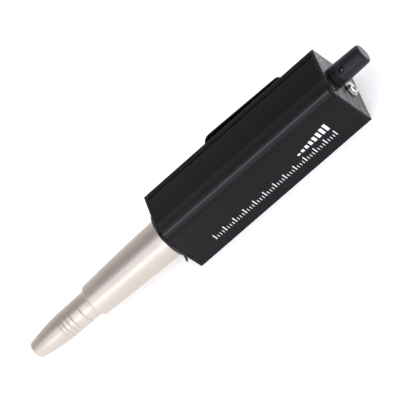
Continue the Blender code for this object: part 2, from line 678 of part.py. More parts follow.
def build_volume(case):
    axis = axis_empty("knob_axis", (FACE_X, 0, KNOB_Z), case)
    front = -PLATE_THICKNESS - FIT
    body_front = front - POT_BUSHING_LENGTH
    low = (body_front - POT_LENGTH, BOARD_TOP_Y + FIT, -POT_SIDE / 2)
    high = (body_front, POT_SIDE / 2, POT_SIDE / 2)
    place = (FACE_X, 0, KNOB_Z)
    body = block("volume_pot_body", low, high, "steel", case, place)
    back = body_front - POT_BORE_DEPTH
    bushing = hole("pot_bushing", POT_BUSHING_RADIUS, front, body_front - THROUGH, case, place, steps=ROUND)
    bore = hole("pot_bore", SHAFT_RADIUS + FIT, front + THROUGH, back, case, place, steps=ROUND)
    boolean(body, "UNION", [bushing])
    boolean(body, "DIFFERENCE", [bore])

    inner_end = back + FIT
    shaft = [(SHAFT_REACH, 0), (SHAFT_REACH, SHAFT_RADIUS), (inner_end, SHAFT_RADIUS), (inner_end, 0)]
    turned("pot_shaft", shaft, "steel", axis)

    bore_radius = SHAFT_RADIUS + FIT
    base_top = KNOB_BASE_HEIGHT
    base = [(base_top, bore_radius), (base_top, KNOB_RADIUS), (FIT, KNOB_RADIUS), (FIT, bore_radius)]
    turned("knob_base_ring", base, "knob_plastic", axis)

    cap_base = base_top + 2 * SEAM
    bore_end = SHAFT_REACH + FIT
    cap = [(KNOB_HEIGHT, 0), (KNOB_HEIGHT, KNOB_END_RADIUS - KNOB_CHAMFER)]
    cap += [(KNOB_HEIGHT - KNOB_CHAMFER, KNOB_END_RADIUS), (cap_base, KNOB_RADIUS)]
    cap += [(cap_base, bore_radius), (bore_end, bore_radius), (bore_end, 0)]
    knob_cap = turned("knob_cap", cap, "knob_plastic", axis)

    angle = radians(SET_SCREW_ANGLE)
    outwards = Vector((0, -sin(angle), cos(angle)))
    turn = [a * 180 / pi for a in Vector((1, 0, 0)).rotation_difference(outwards).to_euler()]
    height = (SET_SCREW_HEIGHT, 0, 0)
    outside = KNOB_RADIUS + THROUGH
    opening = hole("set_screw_hole", SET_SCREW_RADIUS + FIT, outside, SHAFT_RADIUS, axis, height, turn)
    boolean(knob_cap, "DIFFERENCE", [opening])
    outer = KNOB_RADIUS - 2 * FIT
    inner = SHAFT_RADIUS + FIT / 2
    grub = [(outer, 0), (outer, SET_SCREW_RADIUS), (inner, SET_SCREW_RADIUS), (inner, 0)]
    turned("knob_set_screw", grub, "steel", axis, height, turn, SMALL)


def build_jack(case):
    place = (FACE_X, 0, JACK_Z)
    front = -PLATE_THICKNESS - FIT
    bottom = BOARD_TOP_Y + FIT
    low = (front - JACK_LENGTH, bottom, -JACK_WIDTH / 2)
    high = (front, bottom + JACK_HEIGHT, JACK_WIDTH / 2)
    body = block("headphone_jack", low, high, "black_plastic", case, place)
    bushing = hole("jack_bushing", JACK_BUSHING_RADIUS, JACK_REACH, front - THROUGH, case, place, steps=ROUND)
    bore_end = JACK_REACH - JACK_BORE_DEPTH
    bore = hole("jack_bore", JACK_BORE_RADIUS, JACK_REACH + THROUGH, bore_end, case, place)
    boolean(body, "UNION", [bushing])
    boolean(body, "DIFFERENCE", [bore])
    top = SEAM + JACK_NUT_HEIGHT
    bore_radius = JACK_BUSHING_RADIUS + FIT
    nut = [(top, bore_radius), (top, JACK_NUT_RADIUS), (SEAM, JACK_NUT_RADIUS), (SEAM, bore_radius)]
    turned("jack_nut", nut, "bright_nickel", case, place)


# Socket in the end plate, and its latch


def around(radius, degrees):
    """A place at a radius from the case's axis, as y and z."""
    angle = radians(degrees)
    return (radius * cos(angle), radius * sin(angle))


def build_socket(case):
    axis = axis_empty("socket_axis", (-FACE_X, 0, 0), case)
    ring_edge = RING_RADIUS - RING_ROUNDING
    shell = [(SOCKET_DEPTH, SOCKET_BORE_RADIUS), (SOCKET_DEPTH, SOCKET_RADIUS), (-SEAM, SOCKET_RADIUS)]
    shell += [(-SEAM, RING_RADIUS), (RING_ROUNDING - RING_HEIGHT, RING_RADIUS), (-RING_HEIGHT, ring_edge)]
    shell += [(-RING_HEIGHT, SOCKET_BORE_RADIUS)]
    socket = turned("socket_shell", shell, "black_socket", axis)
    half_slot = LATCH_WIDTH / 2 + FIT
    slot_end = LATCH_DEPTH + LATCH_TRAVEL + FIT
    low = (-RING_HEIGHT - THROUGH, SOCKET_BORE_RADIUS - THROUGH, -half_slot)
    high = (slot_end, RING_RADIUS + THROUGH, half_slot)
    slot = block("latch_slot", low, high, None, axis, turn=(LATCH_DIRECTION, 0, 0))
    boolean(socket, "DIFFERENCE", [slot])

    flange_face = SOCKET_DEPTH - FIT - STEM_FLANGE
    stem_face = INSERT_START - PLUG_START
    stem = [(SOCKET_DEPTH - FIT, 0), (SOCKET_DEPTH - FIT, NOSE_RADIUS), (flange_face, NOSE_RADIUS)]
    stem += [(flange_face, STEM_RADIUS), (stem_face, STEM_RADIUS), (stem_face, 0)]
    insert = turned("socket_insert", stem, "black_plastic", axis)
    mouth = stem_face + FIT
    back = mouth + CONTACT_LENGTH
    bore_end = back - CONTACT_FLOOR
    tail_end = back + TAIL_LENGTH
    contact = [(tail_end, 0), (tail_end, TAIL_RADIUS), (back, TAIL_RADIUS), (back, CONTACT_RADIUS)]
    contact += [(mouth, CONTACT_RADIUS), (mouth, CONTACT_BORE_RADIUS), (bore_end, CONTACT_BORE_RADIUS)]
    contact += [(bore_end, 0)]
    holes = []
    landing_y = BOARD_TOP_Y + WIRE_RADIUS + FIT
    finishes = ("wire_white", "wire_red", "wire_black")
    for number, angle in enumerate(PIN_ANGLES):
        y, z = around(PIN_CIRCLE_RADIUS, angle)
        holes.append(hole(f"contact_hole_{number + 1}", CONTACT_RADIUS + FIT, SOCKET_DEPTH + THROUGH,
                          stem_face - THROUGH, axis, (0, y, z)))
        turned(f"socket_contact_{number + 1}", contact, "brass", axis, (0, y, z), steps=SMALL)
        start = tail_end + FIT
        route = []
        for run, drop in INPUT_WIRE_BENDS:
            closing = 1 - INPUT_WIRE_CLOSING * drop
            route.append((start + INPUT_WIRE_RUN * run, y + (landing_y - y) * drop, z * closing))
        wire(f"input_wire_{number + 1}", route, finishes[number], axis)
    boolean(insert, "DIFFERENCE", holes)


def build_latch(case):
    slider = axis_empty("latch_axis", (-FACE_X, 0, 0), case)
    inner = LATCH_INNER_RADIUS
    outer = LATCH_INNER_RADIUS + LATCH_THICKNESS
    reach = Vector((-TAB_REACH, TAB_RADIUS))
    slope = (reach - Vector((-TAB_START, inner))).normalized()
    side = Vector((slope.y, -slope.x)) * LATCH_THICKNESS
    tip_outer = reach + side / 2
    tip_inner = reach - side / 2
    bend = Vector((-TAB_START, inner)) - side / 4
    outline = [(LATCH_DEPTH, inner), (LATCH_DEPTH, outer), (-TAB_START + LATCH_THICKNESS / 2, outer)]
    outline += [tuple(tip_outer), tuple(tip_inner), tuple(bend), (-TAB_START + LATCH_THICKNESS / 2, inner)]
    extruded("release_latch", outline, LATCH_WIDTH, "black_socket", slider, turn=(LATCH_DIRECTION, 0, 0))


# Cable plug


def shell_radius(distance):
    """The plug shell's outside: a straight taper with a slight barrel."""
    u = (distance - PLUG_START) / (PLUG_SHELL_END - PLUG_START)
    return PLUG_FRONT_RADIUS + (PLUG_REAR_RADIUS - PLUG_FRONT_RADIUS) * u + 4 * PLUG_BULGE * u * (1 - u)


def boot_radius(distance):
    """The boot's outside: nearly straight as far as its waist, then falling off as a parabola."""
    if distance < BOOT_WAIST:
        u = (distance - PLUG_SHELL_END) / (BOOT_WAIST - PLUG_SHELL_END)
        return BOOT_RADIUS + (BOOT_WAIST_RADIUS - BOOT_RADIUS) * u
    u = (distance - BOOT_WAIST) / (BOOT_END - BOOT_WAIST)
    return BOOT_WAIST_RADIUS + (BOOT_END_RADIUS - BOOT_WAIST_RADIUS) * u * u


def build_plug(case):
    plug = axis_empty("plug_axis", (-FACE_X, 0, 0), case)
    nose_tip = NOSE_LENGTH - PLUG_START
    opening = BOOT_RADIUS + FIT
    chamfer = NOSE_WALL / 3
    shell = [(nose_tip, NOSE_BORE_RADIUS), (nose_tip, NOSE_RADIUS - chamfer)]
    shell.append((nose_tip - chamfer, NOSE_RADIUS))
    shell.append((-PLUG_START, NOSE_RADIUS))
    straight_end = PLUG_SHELL_END - PLUG_SHOULDER
    for i in range(PLUG_SHELL_STEPS + 1):
        distance = PLUG_START + (straight_end - PLUG_START) * i / PLUG_SHELL_STEPS
        shell.append((-distance, shell_radius(distance)))
    rounding = arc((0, 0), PLUG_SHOULDER, 60, 0, 2)
    rear = shell_radius(straight_end) - PLUG_SHOULDER
    shell += [(-straight_end - y, rear + x) for x, y in reversed(rounding)][1:]
    shell += [(-PLUG_SHELL_END, opening + SEAM)]
    collar = PLUG_SHELL_END - PLUG_COLLAR_LENGTH
    shell += [(-PLUG_SHELL_END, opening), (-collar, opening), (-collar, PLUG_BORE_RADIUS)]
    ledge = INSERT_START + INSERT_THICKNESS + FIT
    shell += [(-ledge, PLUG_BORE_RADIUS), (-ledge, NOSE_BORE_RADIUS)]
    turned("plug_shell", shell, "satin_nickel", plug)

    insert_back = INSERT_START + INSERT_THICKNESS
    disc_radius = NOSE_BORE_RADIUS - FIT
    disc = [(-INSERT_START, 0), (-INSERT_START, disc_radius), (-insert_back, disc_radius), (-insert_back, 0)]
    insert = turned("plug_insert", disc, "black_plastic", plug)
    back = insert_back + PIN_TAIL
    tip = PIN_LENGTH - back
    pin = [(tip, 0), (tip, PIN_RADIUS / 2), (tip - PIN_RADIUS / 2, PIN_RADIUS)]
    pin += [(-back, PIN_RADIUS), (-back, 0)]
    holes = []
    for number, angle in enumerate(PIN_ANGLES):
        place = (0, *around(PIN_CIRCLE_RADIUS, angle))
        name = f"pin_hole_{number + 1}"
        holes.append(hole(name, PIN_RADIUS + FIT, THROUGH, -insert_back - THROUGH, plug, place))
        turned(f"plug_pin_{number + 1}", pin, "bright_nickel", plug, place, steps=SMALL)
    boolean(insert, "DIFFERENCE", holes)

    start = PLUG_SHELL_END - BOOT_INSERTION
    boot = [(-start, BOOT_RADIUS), (-PLUG_SHELL_END, BOOT_RADIUS)]
    for place in GROOVE_PLACES:
        for offset, depth in GROOVE_SHAPE:
            distance = place + offset * GROOVE_WIDTH
            boot.append((-distance, boot_radius(distance) - depth * GROOVE_DEPTH))
    after = GROOVE_PLACES[-1] + GROOVE_WIDTH
    end = BOOT_END - BOOT_ROUNDING
    for i in range(1, BOOT_STEPS + 1):
        distance = after + (end - after) * i / BOOT_STEPS
        boot.append((-distance, boot_radius(distance)))
    rim = boot_radius(end) - BOOT_ROUNDING
    boot += [(-end - y, rim + x) for x, y in arc((0, 0), BOOT_ROUNDING, 0, 90, 3)][1:]
    boot += [(-BOOT_END, BOOT_BORE_RADIUS), (-BOOT_CHAMBER_END, BOOT_BORE_RADIUS)]
    boot += [(-BOOT_CHAMBER_END, BOOT_CHAMBER_RADIUS), (-start, BOOT_CHAMBER_RADIUS)]
    turned("plug_boot", boot, "satin_nickel", plug)

    clamp_end = BOOT_CHAMBER_END - FIT
    clamp_start = clamp_end - CLAMP_LENGTH
    clamp_radius = BOOT_CHAMBER_RADIUS - FIT
    clamp = [(-clamp_start, BOOT_BORE_RADIUS), (-clamp_start, clamp_radius), (-clamp_end, clamp_radius)]
    clamp.append((-clamp_end, BOOT_BORE_RADIUS))
    sleeve = turned("cable_clamp", clamp, "black_plastic", plug)
    low = (-clamp_start - CLAMP_SLOT_LENGTH, 0, -CLAMP_SLOT / 2)
    high = (-clamp_start + THROUGH, clamp_radius + THROUGH, CLAMP_SLOT / 2)
    boolean(sleeve, "DIFFERENCE", [block("clamp_slot", low, high, None, plug)])


def main():
    case = axis_empty("case_axis", (0, 0, HALF))
    build_channel(case)
    build_cover(case)
    build_end_plates(case)
    build_clip(case)
    build_board(case)
    build_batteries(case)
    build_volume(case)
    build_jack(case)
    build_socket(case)
    build_latch(case)
    build_plug(case)


main()
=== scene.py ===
"""The finished surfaces of a pocket headphone amplifier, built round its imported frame.

The case lies along X, with the volume knob and the headphone jack towards +X and the cable plug towards -X.
The printed front is -Y, the belt clip is on +Y, and the case rests on z = 0. All lengths are metres.
"""

import json
from math import cos, pi, radians, sin

import bmesh
import bpy
import numpy as np
from mathutils import Matrix, Vector


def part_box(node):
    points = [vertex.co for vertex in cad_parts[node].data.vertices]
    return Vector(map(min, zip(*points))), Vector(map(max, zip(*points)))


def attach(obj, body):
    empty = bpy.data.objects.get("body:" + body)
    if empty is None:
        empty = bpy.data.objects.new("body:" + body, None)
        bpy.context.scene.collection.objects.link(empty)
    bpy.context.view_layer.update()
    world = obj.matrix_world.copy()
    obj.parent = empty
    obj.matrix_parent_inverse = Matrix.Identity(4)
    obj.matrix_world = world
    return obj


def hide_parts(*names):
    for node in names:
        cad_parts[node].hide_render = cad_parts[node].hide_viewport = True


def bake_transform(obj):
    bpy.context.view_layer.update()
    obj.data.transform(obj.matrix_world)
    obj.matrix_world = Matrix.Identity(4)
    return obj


bl_info = {
    "name": "Pocket headphone amplifier",
    "version": (1, 0, 0),
    "blender": (4, 5, 0),
    "location": "3D View > Sidebar > Amplifier",
    "description": "Builds the finished surfaces of a pocket headphone amplifier round its frame",
    "category": "Add Mesh",
}

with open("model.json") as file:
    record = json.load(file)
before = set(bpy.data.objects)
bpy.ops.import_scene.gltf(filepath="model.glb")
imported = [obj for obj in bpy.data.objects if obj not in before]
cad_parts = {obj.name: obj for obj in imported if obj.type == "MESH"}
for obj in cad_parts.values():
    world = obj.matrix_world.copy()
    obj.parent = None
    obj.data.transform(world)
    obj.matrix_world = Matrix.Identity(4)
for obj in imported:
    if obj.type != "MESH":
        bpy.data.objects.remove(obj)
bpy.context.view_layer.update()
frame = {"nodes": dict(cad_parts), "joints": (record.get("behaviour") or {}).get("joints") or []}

MM = 0.001
SEAM = 0.1 * MM  # between flat faces that lie on each other
FIT = 0.3 * MM  # between round or cut neighbours
THROUGH = 1 * MM  # how far a cutter runs past the face that it opens
RIM = 0.25 * MM  # rounding of the corners of the cover and the end plates
SUNK = 0.04 * MM  # how far a screw's head lies below the face round it
SHARP = radians(35)  # edges bent by more than this stay sharp


def middle(node):
    """The middle of a node's box."""
    low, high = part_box(node)
    return (low + high) / 2


def radius_of(node):
    """Half of the width in Z of a node that is turned about X."""
    low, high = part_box(node)
    return (high.z - low.z) / 2


# Places that every piece is laid out from
CASE_Z = middle("knob_end_plate").z
HALF = radius_of("knob_end_plate")
KNOB_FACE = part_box("knob_end_plate")[1].x
SOCKET_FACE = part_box("socket_end_plate")[0].x
KNOB_Z = middle("knob_cap").z
JACK_Z = middle("jack_nut").z
PIN_PLACES = [tuple(middle(f"plug_pin_{number}").yz) for number in (1, 2, 3)]
LATCH_ANGLE = radians(225)  # about +X from +Y, where the latch strip lies

# Steps round a circle
ROUND = 96
SMALL = 48


# Shapes: every piece is worked out as whole arrays of points


def softened(corners, steps=5, closed=True):
    """An outline through (a, b, rounding) corners.

    A corner c with rounding d becomes the quadratic curve (1-t)^2 p + 2 t (1-t) c + t^2 q, where p and q lie
    d from c towards the corners before and after it. A corner without rounding stays a single point.
    """
    places = np.array([corner[:2] for corner in corners], float)
    pieces = []
    for number, corner in enumerate(corners):
        distance = corner[2] if len(corner) > 2 else 0
        at_end = not closed and number in (0, len(corners) - 1)
        here = places[number]
        if distance == 0 or at_end:
            pieces.append(here[None])
            continue
        before = places[number - 1] - here
        after = places[(number + 1) % len(places)] - here
        p = here + before / np.linalg.norm(before) * distance
        q = here + after / np.linalg.norm(after) * distance
        t = np.linspace(0, 1, steps + 1)[:, None]
        pieces.append((1 - t) ** 2 * p + 2 * t * (1 - t) * here + t**2 * q)
    return np.concatenate(pieces)


def circle_part(centre, radius, start, end, steps):
    """Points centre + radius (cos a, sin a), with a in degrees from start to end."""
    a = np.radians(np.linspace(start, end, steps + 1))
    return np.stack([centre[0] + radius * np.cos(a), centre[1] + radius * np.sin(a)], -1)


def grid_faces(rows, columns, close_rows, close_columns=True):
    """Corner numbers of the faces between the rows and columns of a grid, as one array."""
    i, j = np.meshgrid(
        np.arange(rows if close_rows else rows - 1),
        np.arange(columns if close_columns else columns - 1),
        indexing="ij",
    )
    k, m = (i + 1) % rows, (j + 1) % columns
    corners = [i * columns + j, i * columns + m, k * columns + m, k * columns + j]
    return np.stack(corners, -1).reshape(-1, 4).tolist()


def turned(profile, centre, steps=ROUND, wave=None, along=None):
    """A shell turned about X: x = a, y = cy + r cos t, z = cz + r sin t, for each (a, r) of the profile.

    A profile that starts and ends on the axis closes at its poles, and any other closes on itself. wave and
    along give a change of radius and of place along X for each (a, r, t).
    """
    a, r = np.asarray(profile, float).T
    t = np.linspace(0, 2 * pi, steps, endpoint=False)
    a, r, t = np.broadcast_arrays(a[:, None], r[:, None], t[None, :])
    x = a + (along(a, r, t) if along else 0)
    radius = r + (wave(a, r, t) if wave else 0)
    points = np.stack([x, centre[0] + radius * np.cos(t), centre[1] + radius * np.sin(t)], -1)
    on_axis = r[0, 0] == 0 and r[-1, 0] == 0
    return points.reshape(-1, 3), grid_faces(len(points), steps, close_rows=not on_axis)


def mitres(outline):
    """For each point of a closed outline, the step outwards that moves both of its sides by one unit.

    With side normals n and m it is (n + m) / (1 + n.m).
    """
    side = np.roll(outline, -1, 0) - outline
    side = side / np.linalg.norm(side, axis=1)[:, None]
    after = np.stack([side[:, 1], -side[:, 0]], -1)
    before = np.roll(after, 1, 0)
    area = np.sum(outline[:, 0] * np.roll(outline[:, 1], -1) - outline[:, 1] * np.roll(outline[:, 0], -1))
    return np.sign(area) * (before + after) / (1 + np.sum(before * after, 1))[:, None]


def drawn(outline, low, high, bevel, place, steps=4):
    """A shell from a closed outline carried between two planes, its rims rounded by a quarter circle.

    At an angle a of the rim, the outline is drawn in by bevel (1 - cos a) and lies bevel (1 - sin a) inside
    its end plane. place turns (depth, u, v) arrays into points.
    """
    a = np.linspace(pi / 2, 0, steps + 1)
    depth = np.concatenate([low + bevel * (1 - np.sin(a)), (high - bevel * (1 - np.sin(a)))[::-1]])
    inset = np.concatenate([bevel * (1 - np.cos(a)), bevel * (1 - np.cos(a))[::-1]])
    rows = outline[None] - inset[:, None, None] * mitres(outline)[None]
    depth = np.broadcast_to(depth[:, None], rows.shape[:2])
    points = place(depth, rows[..., 0], rows[..., 1])
    count = len(outline)
    faces = grid_faces(len(rows), count, close_rows=False)
    last = (len(rows) - 1) * count
    faces += [list(range(count)), list(range(last, last + count))]
    return points.reshape(-1, 3), faces


def across_x(depth, u, v):
    """Places an outline in y and z, given about the case's axis."""
    return np.stack([depth, u, CASE_Z + v], -1)


def across_y(depth, u, v):
    """Places an outline in x and z, given about the case's axis."""
    return np.stack([u, depth, CASE_Z + v], -1)


def strip(path, half_width, thickness, place, steps=3):
    """A flat strip carried along a path in a plane, with round edges and ends.

    Each section is a rectangle with quarter circles of half the thickness at its corners. Nearer to an end
    than that, at a share s of it, the section shrinks by sqrt(1 - (1 - s)^2). half_width has one value for
    each point of the path, and place turns (u, v, w) arrays into points, with w across the strip.
    """
    step = np.gradient(path, axis=0)
    tangent = step / np.linalg.norm(step, axis=1)[:, None]
    normal = np.stack([-tangent[:, 1], tangent[:, 0]], -1)
    run = lengthwise(path)
    radius = thickness / 2
    least = 0.02  # so that an end never shrinks to a point
    s = np.clip(np.minimum(run, run[-1] - run) / radius, least, 1)
    shrink = np.sqrt(1 - (1 - s) ** 2)
    corners = ((1, 0), (-1, 90), (-1, 180), (1, 270))
    a = np.radians(np.concatenate([np.linspace(start, start + 90, steps + 1) for _, start in corners]))
    side = np.repeat([sign for sign, _ in corners], steps + 1)
    across = side[None] * (half_width - radius)[:, None] + radius * shrink[:, None] * np.cos(a)[None]
    up = radius * shrink[:, None] * np.sin(a)[None]
    u = path[:, 0, None] + up * normal[:, 0, None]
    v = path[:, 1, None] + up * normal[:, 1, None]
    count = len(a)
    faces = grid_faces(len(path), count, close_rows=False)
    last = (len(path) - 1) * count
    faces += [list(range(count)), list(range(last, last + count))]
    return place(u, v, across).reshape(-1, 3), faces


def block(low, high, bevel=0.0):
    """A box between two corners, drawn along X from its outline in y and z."""
    outline = np.array([(low[1], low[2]), (high[1], low[2]), (high[1], high[2]), (low[1], high[2])])
    return drawn(outline, low[0], high[0], bevel, lambda depth, u, v: np.stack([depth, u, v], -1), 2)


def drill(low, high, radius, centre=(0, 0), steps=SMALL):
    """A cutter for a round hole along X, from low to high."""
    return turned([(high, 0), (high, radius), (low, radius), (low, 0)], centre, steps)


def lengthwise(path):
    """How far each point of a path lies along it."""
    return np.concatenate([[0], np.cumsum(np.linalg.norm(np.diff(path, axis=0), axis=1))])


def mesh_of(name, shells):
    """A mesh of closed shells, each with its doubles merged and its faces turned outwards.

    A shell's faces point outwards when its signed volume is positive.
    """
    doubles = 1e-7
    whole = bmesh.new()
    for points, faces in shells:
        mesh = bpy.data.meshes.new(name)
        mesh.from_pydata(points.tolist(), [], faces)
        shape = bmesh.new()
        shape.from_mesh(mesh)
        bmesh.ops.remove_doubles(shape, verts=shape.verts, dist=doubles)
        bmesh.ops.recalc_face_normals(shape, faces=shape.faces)
        if shape.calc_volume(signed=True) < 0:
            bmesh.ops.reverse_faces(shape, faces=shape.faces)
        shape.to_mesh(mesh)
        shape.free()
        whole.from_mesh(mesh)
        bpy.data.meshes.remove(mesh)
    mesh = bpy.data.meshes.new(name)
    whole.to_mesh(mesh)
    whole.free()
    return mesh


def piece(name, shells, finish, body, stands_for=(), cutters=()):
    """A finished piece: its shells, less any cutters, on its body and in place of its nodes.

    A piece without a body is left without a parent.
    """
    made = bpy.data.objects.new(name, mesh_of(name, shells))
    bpy.context.scene.collection.objects.link(made)
    if cutters:
        cutter = bpy.data.objects.new(f"{name}_cutter", mesh_of(f"{name}_cutter", cutters))
        bpy.context.scene.collection.objects.link(cutter)
        modifier = made.modifiers.new("openings", "BOOLEAN")
        modifier.operation = "DIFFERENCE"
        modifier.solver = "EXACT"
        modifier.object = cutter
        cut = bpy.data.meshes.new_from_object(made.evaluated_get(bpy.context.evaluated_depsgraph_get()))
        made.modifiers.remove(modifier)
        made.data = cut
        cut.name = name
        bpy.data.objects.remove(cutter)
    made.data.materials.clear()
    made.data.materials.append(finish)
    made.data.shade_smooth()
    made.data.set_sharp_from_angle(angle=SHARP)
    if body:
        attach(made, body)
    if stands_for:
        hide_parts(*stands_for)
    return made


# Finishes

MADE = {}  # every finish by its name


class Level:
    """A socket of a node tree. Arithmetic on it adds Math nodes."""

    def __init__(self, nodes, socket):
        self.nodes = nodes
        self.socket = socket

    def math(self, operation, *values):
        return self.nodes.add("ShaderNodeMath", {"operation": operation}, dict(enumerate(values)))

    def __add__(self, other):
        return self.math("ADD", self, other)

    def __radd__(self, other):
        return self.math("ADD", other, self)

    def __sub__(self, other):
        return self.math("SUBTRACT", self, other)

    def __rsub__(self, other):
        return self.math("SUBTRACT", other, self)

    def __mul__(self, other):
        return self.math("MULTIPLY", self, other)

    def __rmul__(self, other):
        return self.math("MULTIPLY", other, self)

    def __abs__(self):
        return self.math("ABSOLUTE", self)

    def step(self, low, high):
        """0 below low and 1 above high, with a smooth rise between."""
        sockets = {"Value": self, "From Min": low, "From Max": high}
        return self.nodes.add("ShaderNodeMapRange", {"interpolation_type": "SMOOTHSTEP"}, sockets)


class Nodes:
    """A node tree that nodes are added to."""

    def __init__(self, tree):
        self.tree = tree

    def add(self, kind, settings=None, sockets=None, output=0):
        """One node: its settings first, then its sockets' values or links. Gives one of its outputs."""
        made = self.tree.nodes.new(kind)
        for key, value in (settings or {}).items():
            if key == "stops":
                for place, colour in value[2:]:
                    made.color_ramp.elements.new(place)
                for element, (place, colour) in zip(made.color_ramp.elements, value):
                    element.position = place
                    element.color = colour
            else:
                setattr(made, key, value)
        for key, value in (sockets or {}).items():
            if isinstance(value, Level):
                self.tree.links.new(value.socket, made.inputs[key])
            else:
                made.inputs[key].default_value = value
        return Level(self, made.outputs[output])


class Finish(Nodes):
    """A material for one finish, with patterns on Object coordinates."""

    def __init__(self, name, roughness, metallic=0.0, specular=0.5, coat=0.0):
        self.material = bpy.data.materials.new(f"{name}_finish")
        self.material.use_nodes = True
        MADE[name] = self.material
        super().__init__(self.material.node_tree)
        self.shader = self.tree.nodes["Principled BSDF"]
        self.shader.inputs["Roughness"].default_value = roughness
        self.shader.inputs["Metallic"].default_value = metallic
        self.shader.inputs["Specular IOR Level"].default_value = specular
        self.shader.inputs["Coat Weight"].default_value = coat
        self.place = self.add("ShaderNodeTexCoord", output="Object")

    def axes(self):
        """The object coordinates x, y and z."""
        parts = self.add("ShaderNodeSeparateXYZ", None, {0: self.place})
        return [Level(self, parts.socket.node.outputs[index]) for index in range(3)]

    def noise(self, scale, detail=2, stretch=(1, 1, 1)):
        """Noise whose grains are one over scale in size, drawn out where stretch is small."""
        vector = self.add("ShaderNodeMapping", None, {"Vector": self.place, "Scale": stretch})
        return self.add("ShaderNodeTexNoise", None, {"Vector": vector, "Scale": scale, "Detail": detail})

    def mix(self, mask, first, second):
        """A colour between two colours."""
        sockets = {0: mask, 6: first, 7: second}
        return self.add("ShaderNodeMix", {"data_type": "RGBA"}, sockets, output=2)

    def bump(self, height, distance, strength, normal=None):
        """A normal tilted by a height pattern, over one from before it where given."""
        sockets = {"Height": height, "Distance": distance, "Strength": strength}
        if normal:
            sockets["Normal"] = normal
        return self.add("ShaderNodeBump", None, sockets, output="Normal")

    def done(self, **sockets):
        """Links patterns to the shader's sockets, by their names with _ for a space."""
        for key, value in sockets.items():
            socket = self.shader.inputs[key.replace("_", " ")]
            if isinstance(value, Level):
                self.tree.links.new(value.socket, socket)
            else:
                socket.default_value = value
        return self.material


def shade(colour, factor):
    """A colour made lighter or darker, as red, green, blue and alpha."""
    return (*(min(1, part * factor) for part in colour[:3]), 1)


def straight_edges(finish, low, high, reach):
    """1 along the edges of a box and 0 on its faces: where two of three coordinates are near their limits."""
    near = []
    for axis, first, last in zip(finish.axes(), low, high):
        half = (last - first) / 2
        near.append(abs(axis - (first + last) / 2).step(half - reach, half))
    return near[0] * near[1] + near[1] * near[2] + near[0] * near[2]


def rounded_edge(finish, corner):
    """1 along the middle of the rounded front edge and 0 on the flat faces that it joins.

    Round the edge's centre line the angle from -Y towards +Z is atan2(z, -y). The mask rises with it and
    falls again.
    """
    _, y, z = finish.axes()
    up = z - (CASE_Z + HALF - corner)
    angle = up.math("ARCTAN2", up, corner - HALF - y)
    rise = angle.step(radians(28), radians(58))
    fall = angle.step(radians(66), radians(86))
    return rise * (1 - fall)


def anodised(name, colour, roughness, specular, low, high, polish, corner):
    """Dyed anodised aluminium: bead-blasted grain, faint drawing lines along X and slightly rubbed edges.

    The edges are those of the box from low to high. polish is the weight of a brighter coat along a rounded
    front edge with the radius given by corner.
    """
    finish = Finish(name, roughness, 0.0, specular)
    finish.shader.inputs["Coat Roughness"].default_value = 0.22
    cloud = finish.noise(60, 3)
    grain = finish.noise(5200, 3)
    lines = finish.noise(2600, 2, (0.02, 1, 1))
    rubbed = straight_edges(finish, low, high, 0.5 * MM) * finish.noise(420, 4).step(0.4, 0.75)
    tone = finish.mix(cloud.step(0.3, 0.7), shade(colour, 0.86), shade(colour, 1.16))
    tone = finish.mix(grain * 0.25, tone, shade(colour, 1.9))
    tone = finish.mix(rubbed * 0.35, tone, (0.16, 0.16, 0.165, 1))
    rough = roughness - 0.07 + cloud * 0.08 + grain * 0.06 - rubbed * 0.08
    normal = finish.bump(grain, 0.02 * MM, 0.22)
    normal = finish.bump(lines, 0.01 * MM, 0.12, normal)
    coat = rounded_edge(finish, corner) * polish
    return finish.done(Base_Color=tone, Roughness=rough, Coat_Weight=coat, Normal=normal)


def brushed_plate(name, black, grey, ends):
    """An end plate: black anodised rims, and a brushed outer face with grey streaks along Y.

    ends are the places along X of the two outer faces. The brushing fades out between 0.05 mm and 0.2 mm
    behind them, on the rounding of the rims.
    """
    finish = Finish(name, 0.3, 0.0, 0.2)
    x = finish.axes()[0]
    half = (ends[1] - ends[0]) / 2
    face = abs(x - (ends[0] + ends[1]) / 2).step(half - 0.2 * MM, half - 0.05 * MM)
    streaks = finish.noise(900, 4, (1, 0.05, 1))
    grain = finish.noise(4200, 3)
    bare = finish.mix(streaks.step(0.4, 0.68), shade(grey, 0.5), shade(grey, 2.8))
    bare = finish.mix(grain.step(0.6, 0.8) * 0.5, bare, shade(grey, 2.6))
    tone = finish.mix(face, finish.mix(grain * 0.3, shade(black, 1), shade(black, 2)), bare)
    normal = finish.bump(streaks, 0.03 * MM, 0.35)
    normal = finish.bump(grain, 0.02 * MM, 0.25, normal)
    return finish.done(Base_Color=tone, Metallic=face, Roughness=0.28 + streaks * 0.14, Normal=normal)


def painted(name, colour, roughness, specular):
    """Stoved black paint on spring steel: a fine orange peel with small dull flecks."""
    finish = Finish(name, roughness, 0.0, specular)
    peel = finish.noise(1500, 2)
    fleck = finish.noise(3800, 3).step(0.62, 0.78)
    tone = finish.mix(fleck, shade(colour, 1), shade(colour, 2.2))
    return finish.done(
        Base_Color=tone,
        Roughness=roughness - 0.04 + peel * 0.08 + fleck * 0.1,
        Normal=finish.bump(peel, 0.03 * MM, 0.2),
    )


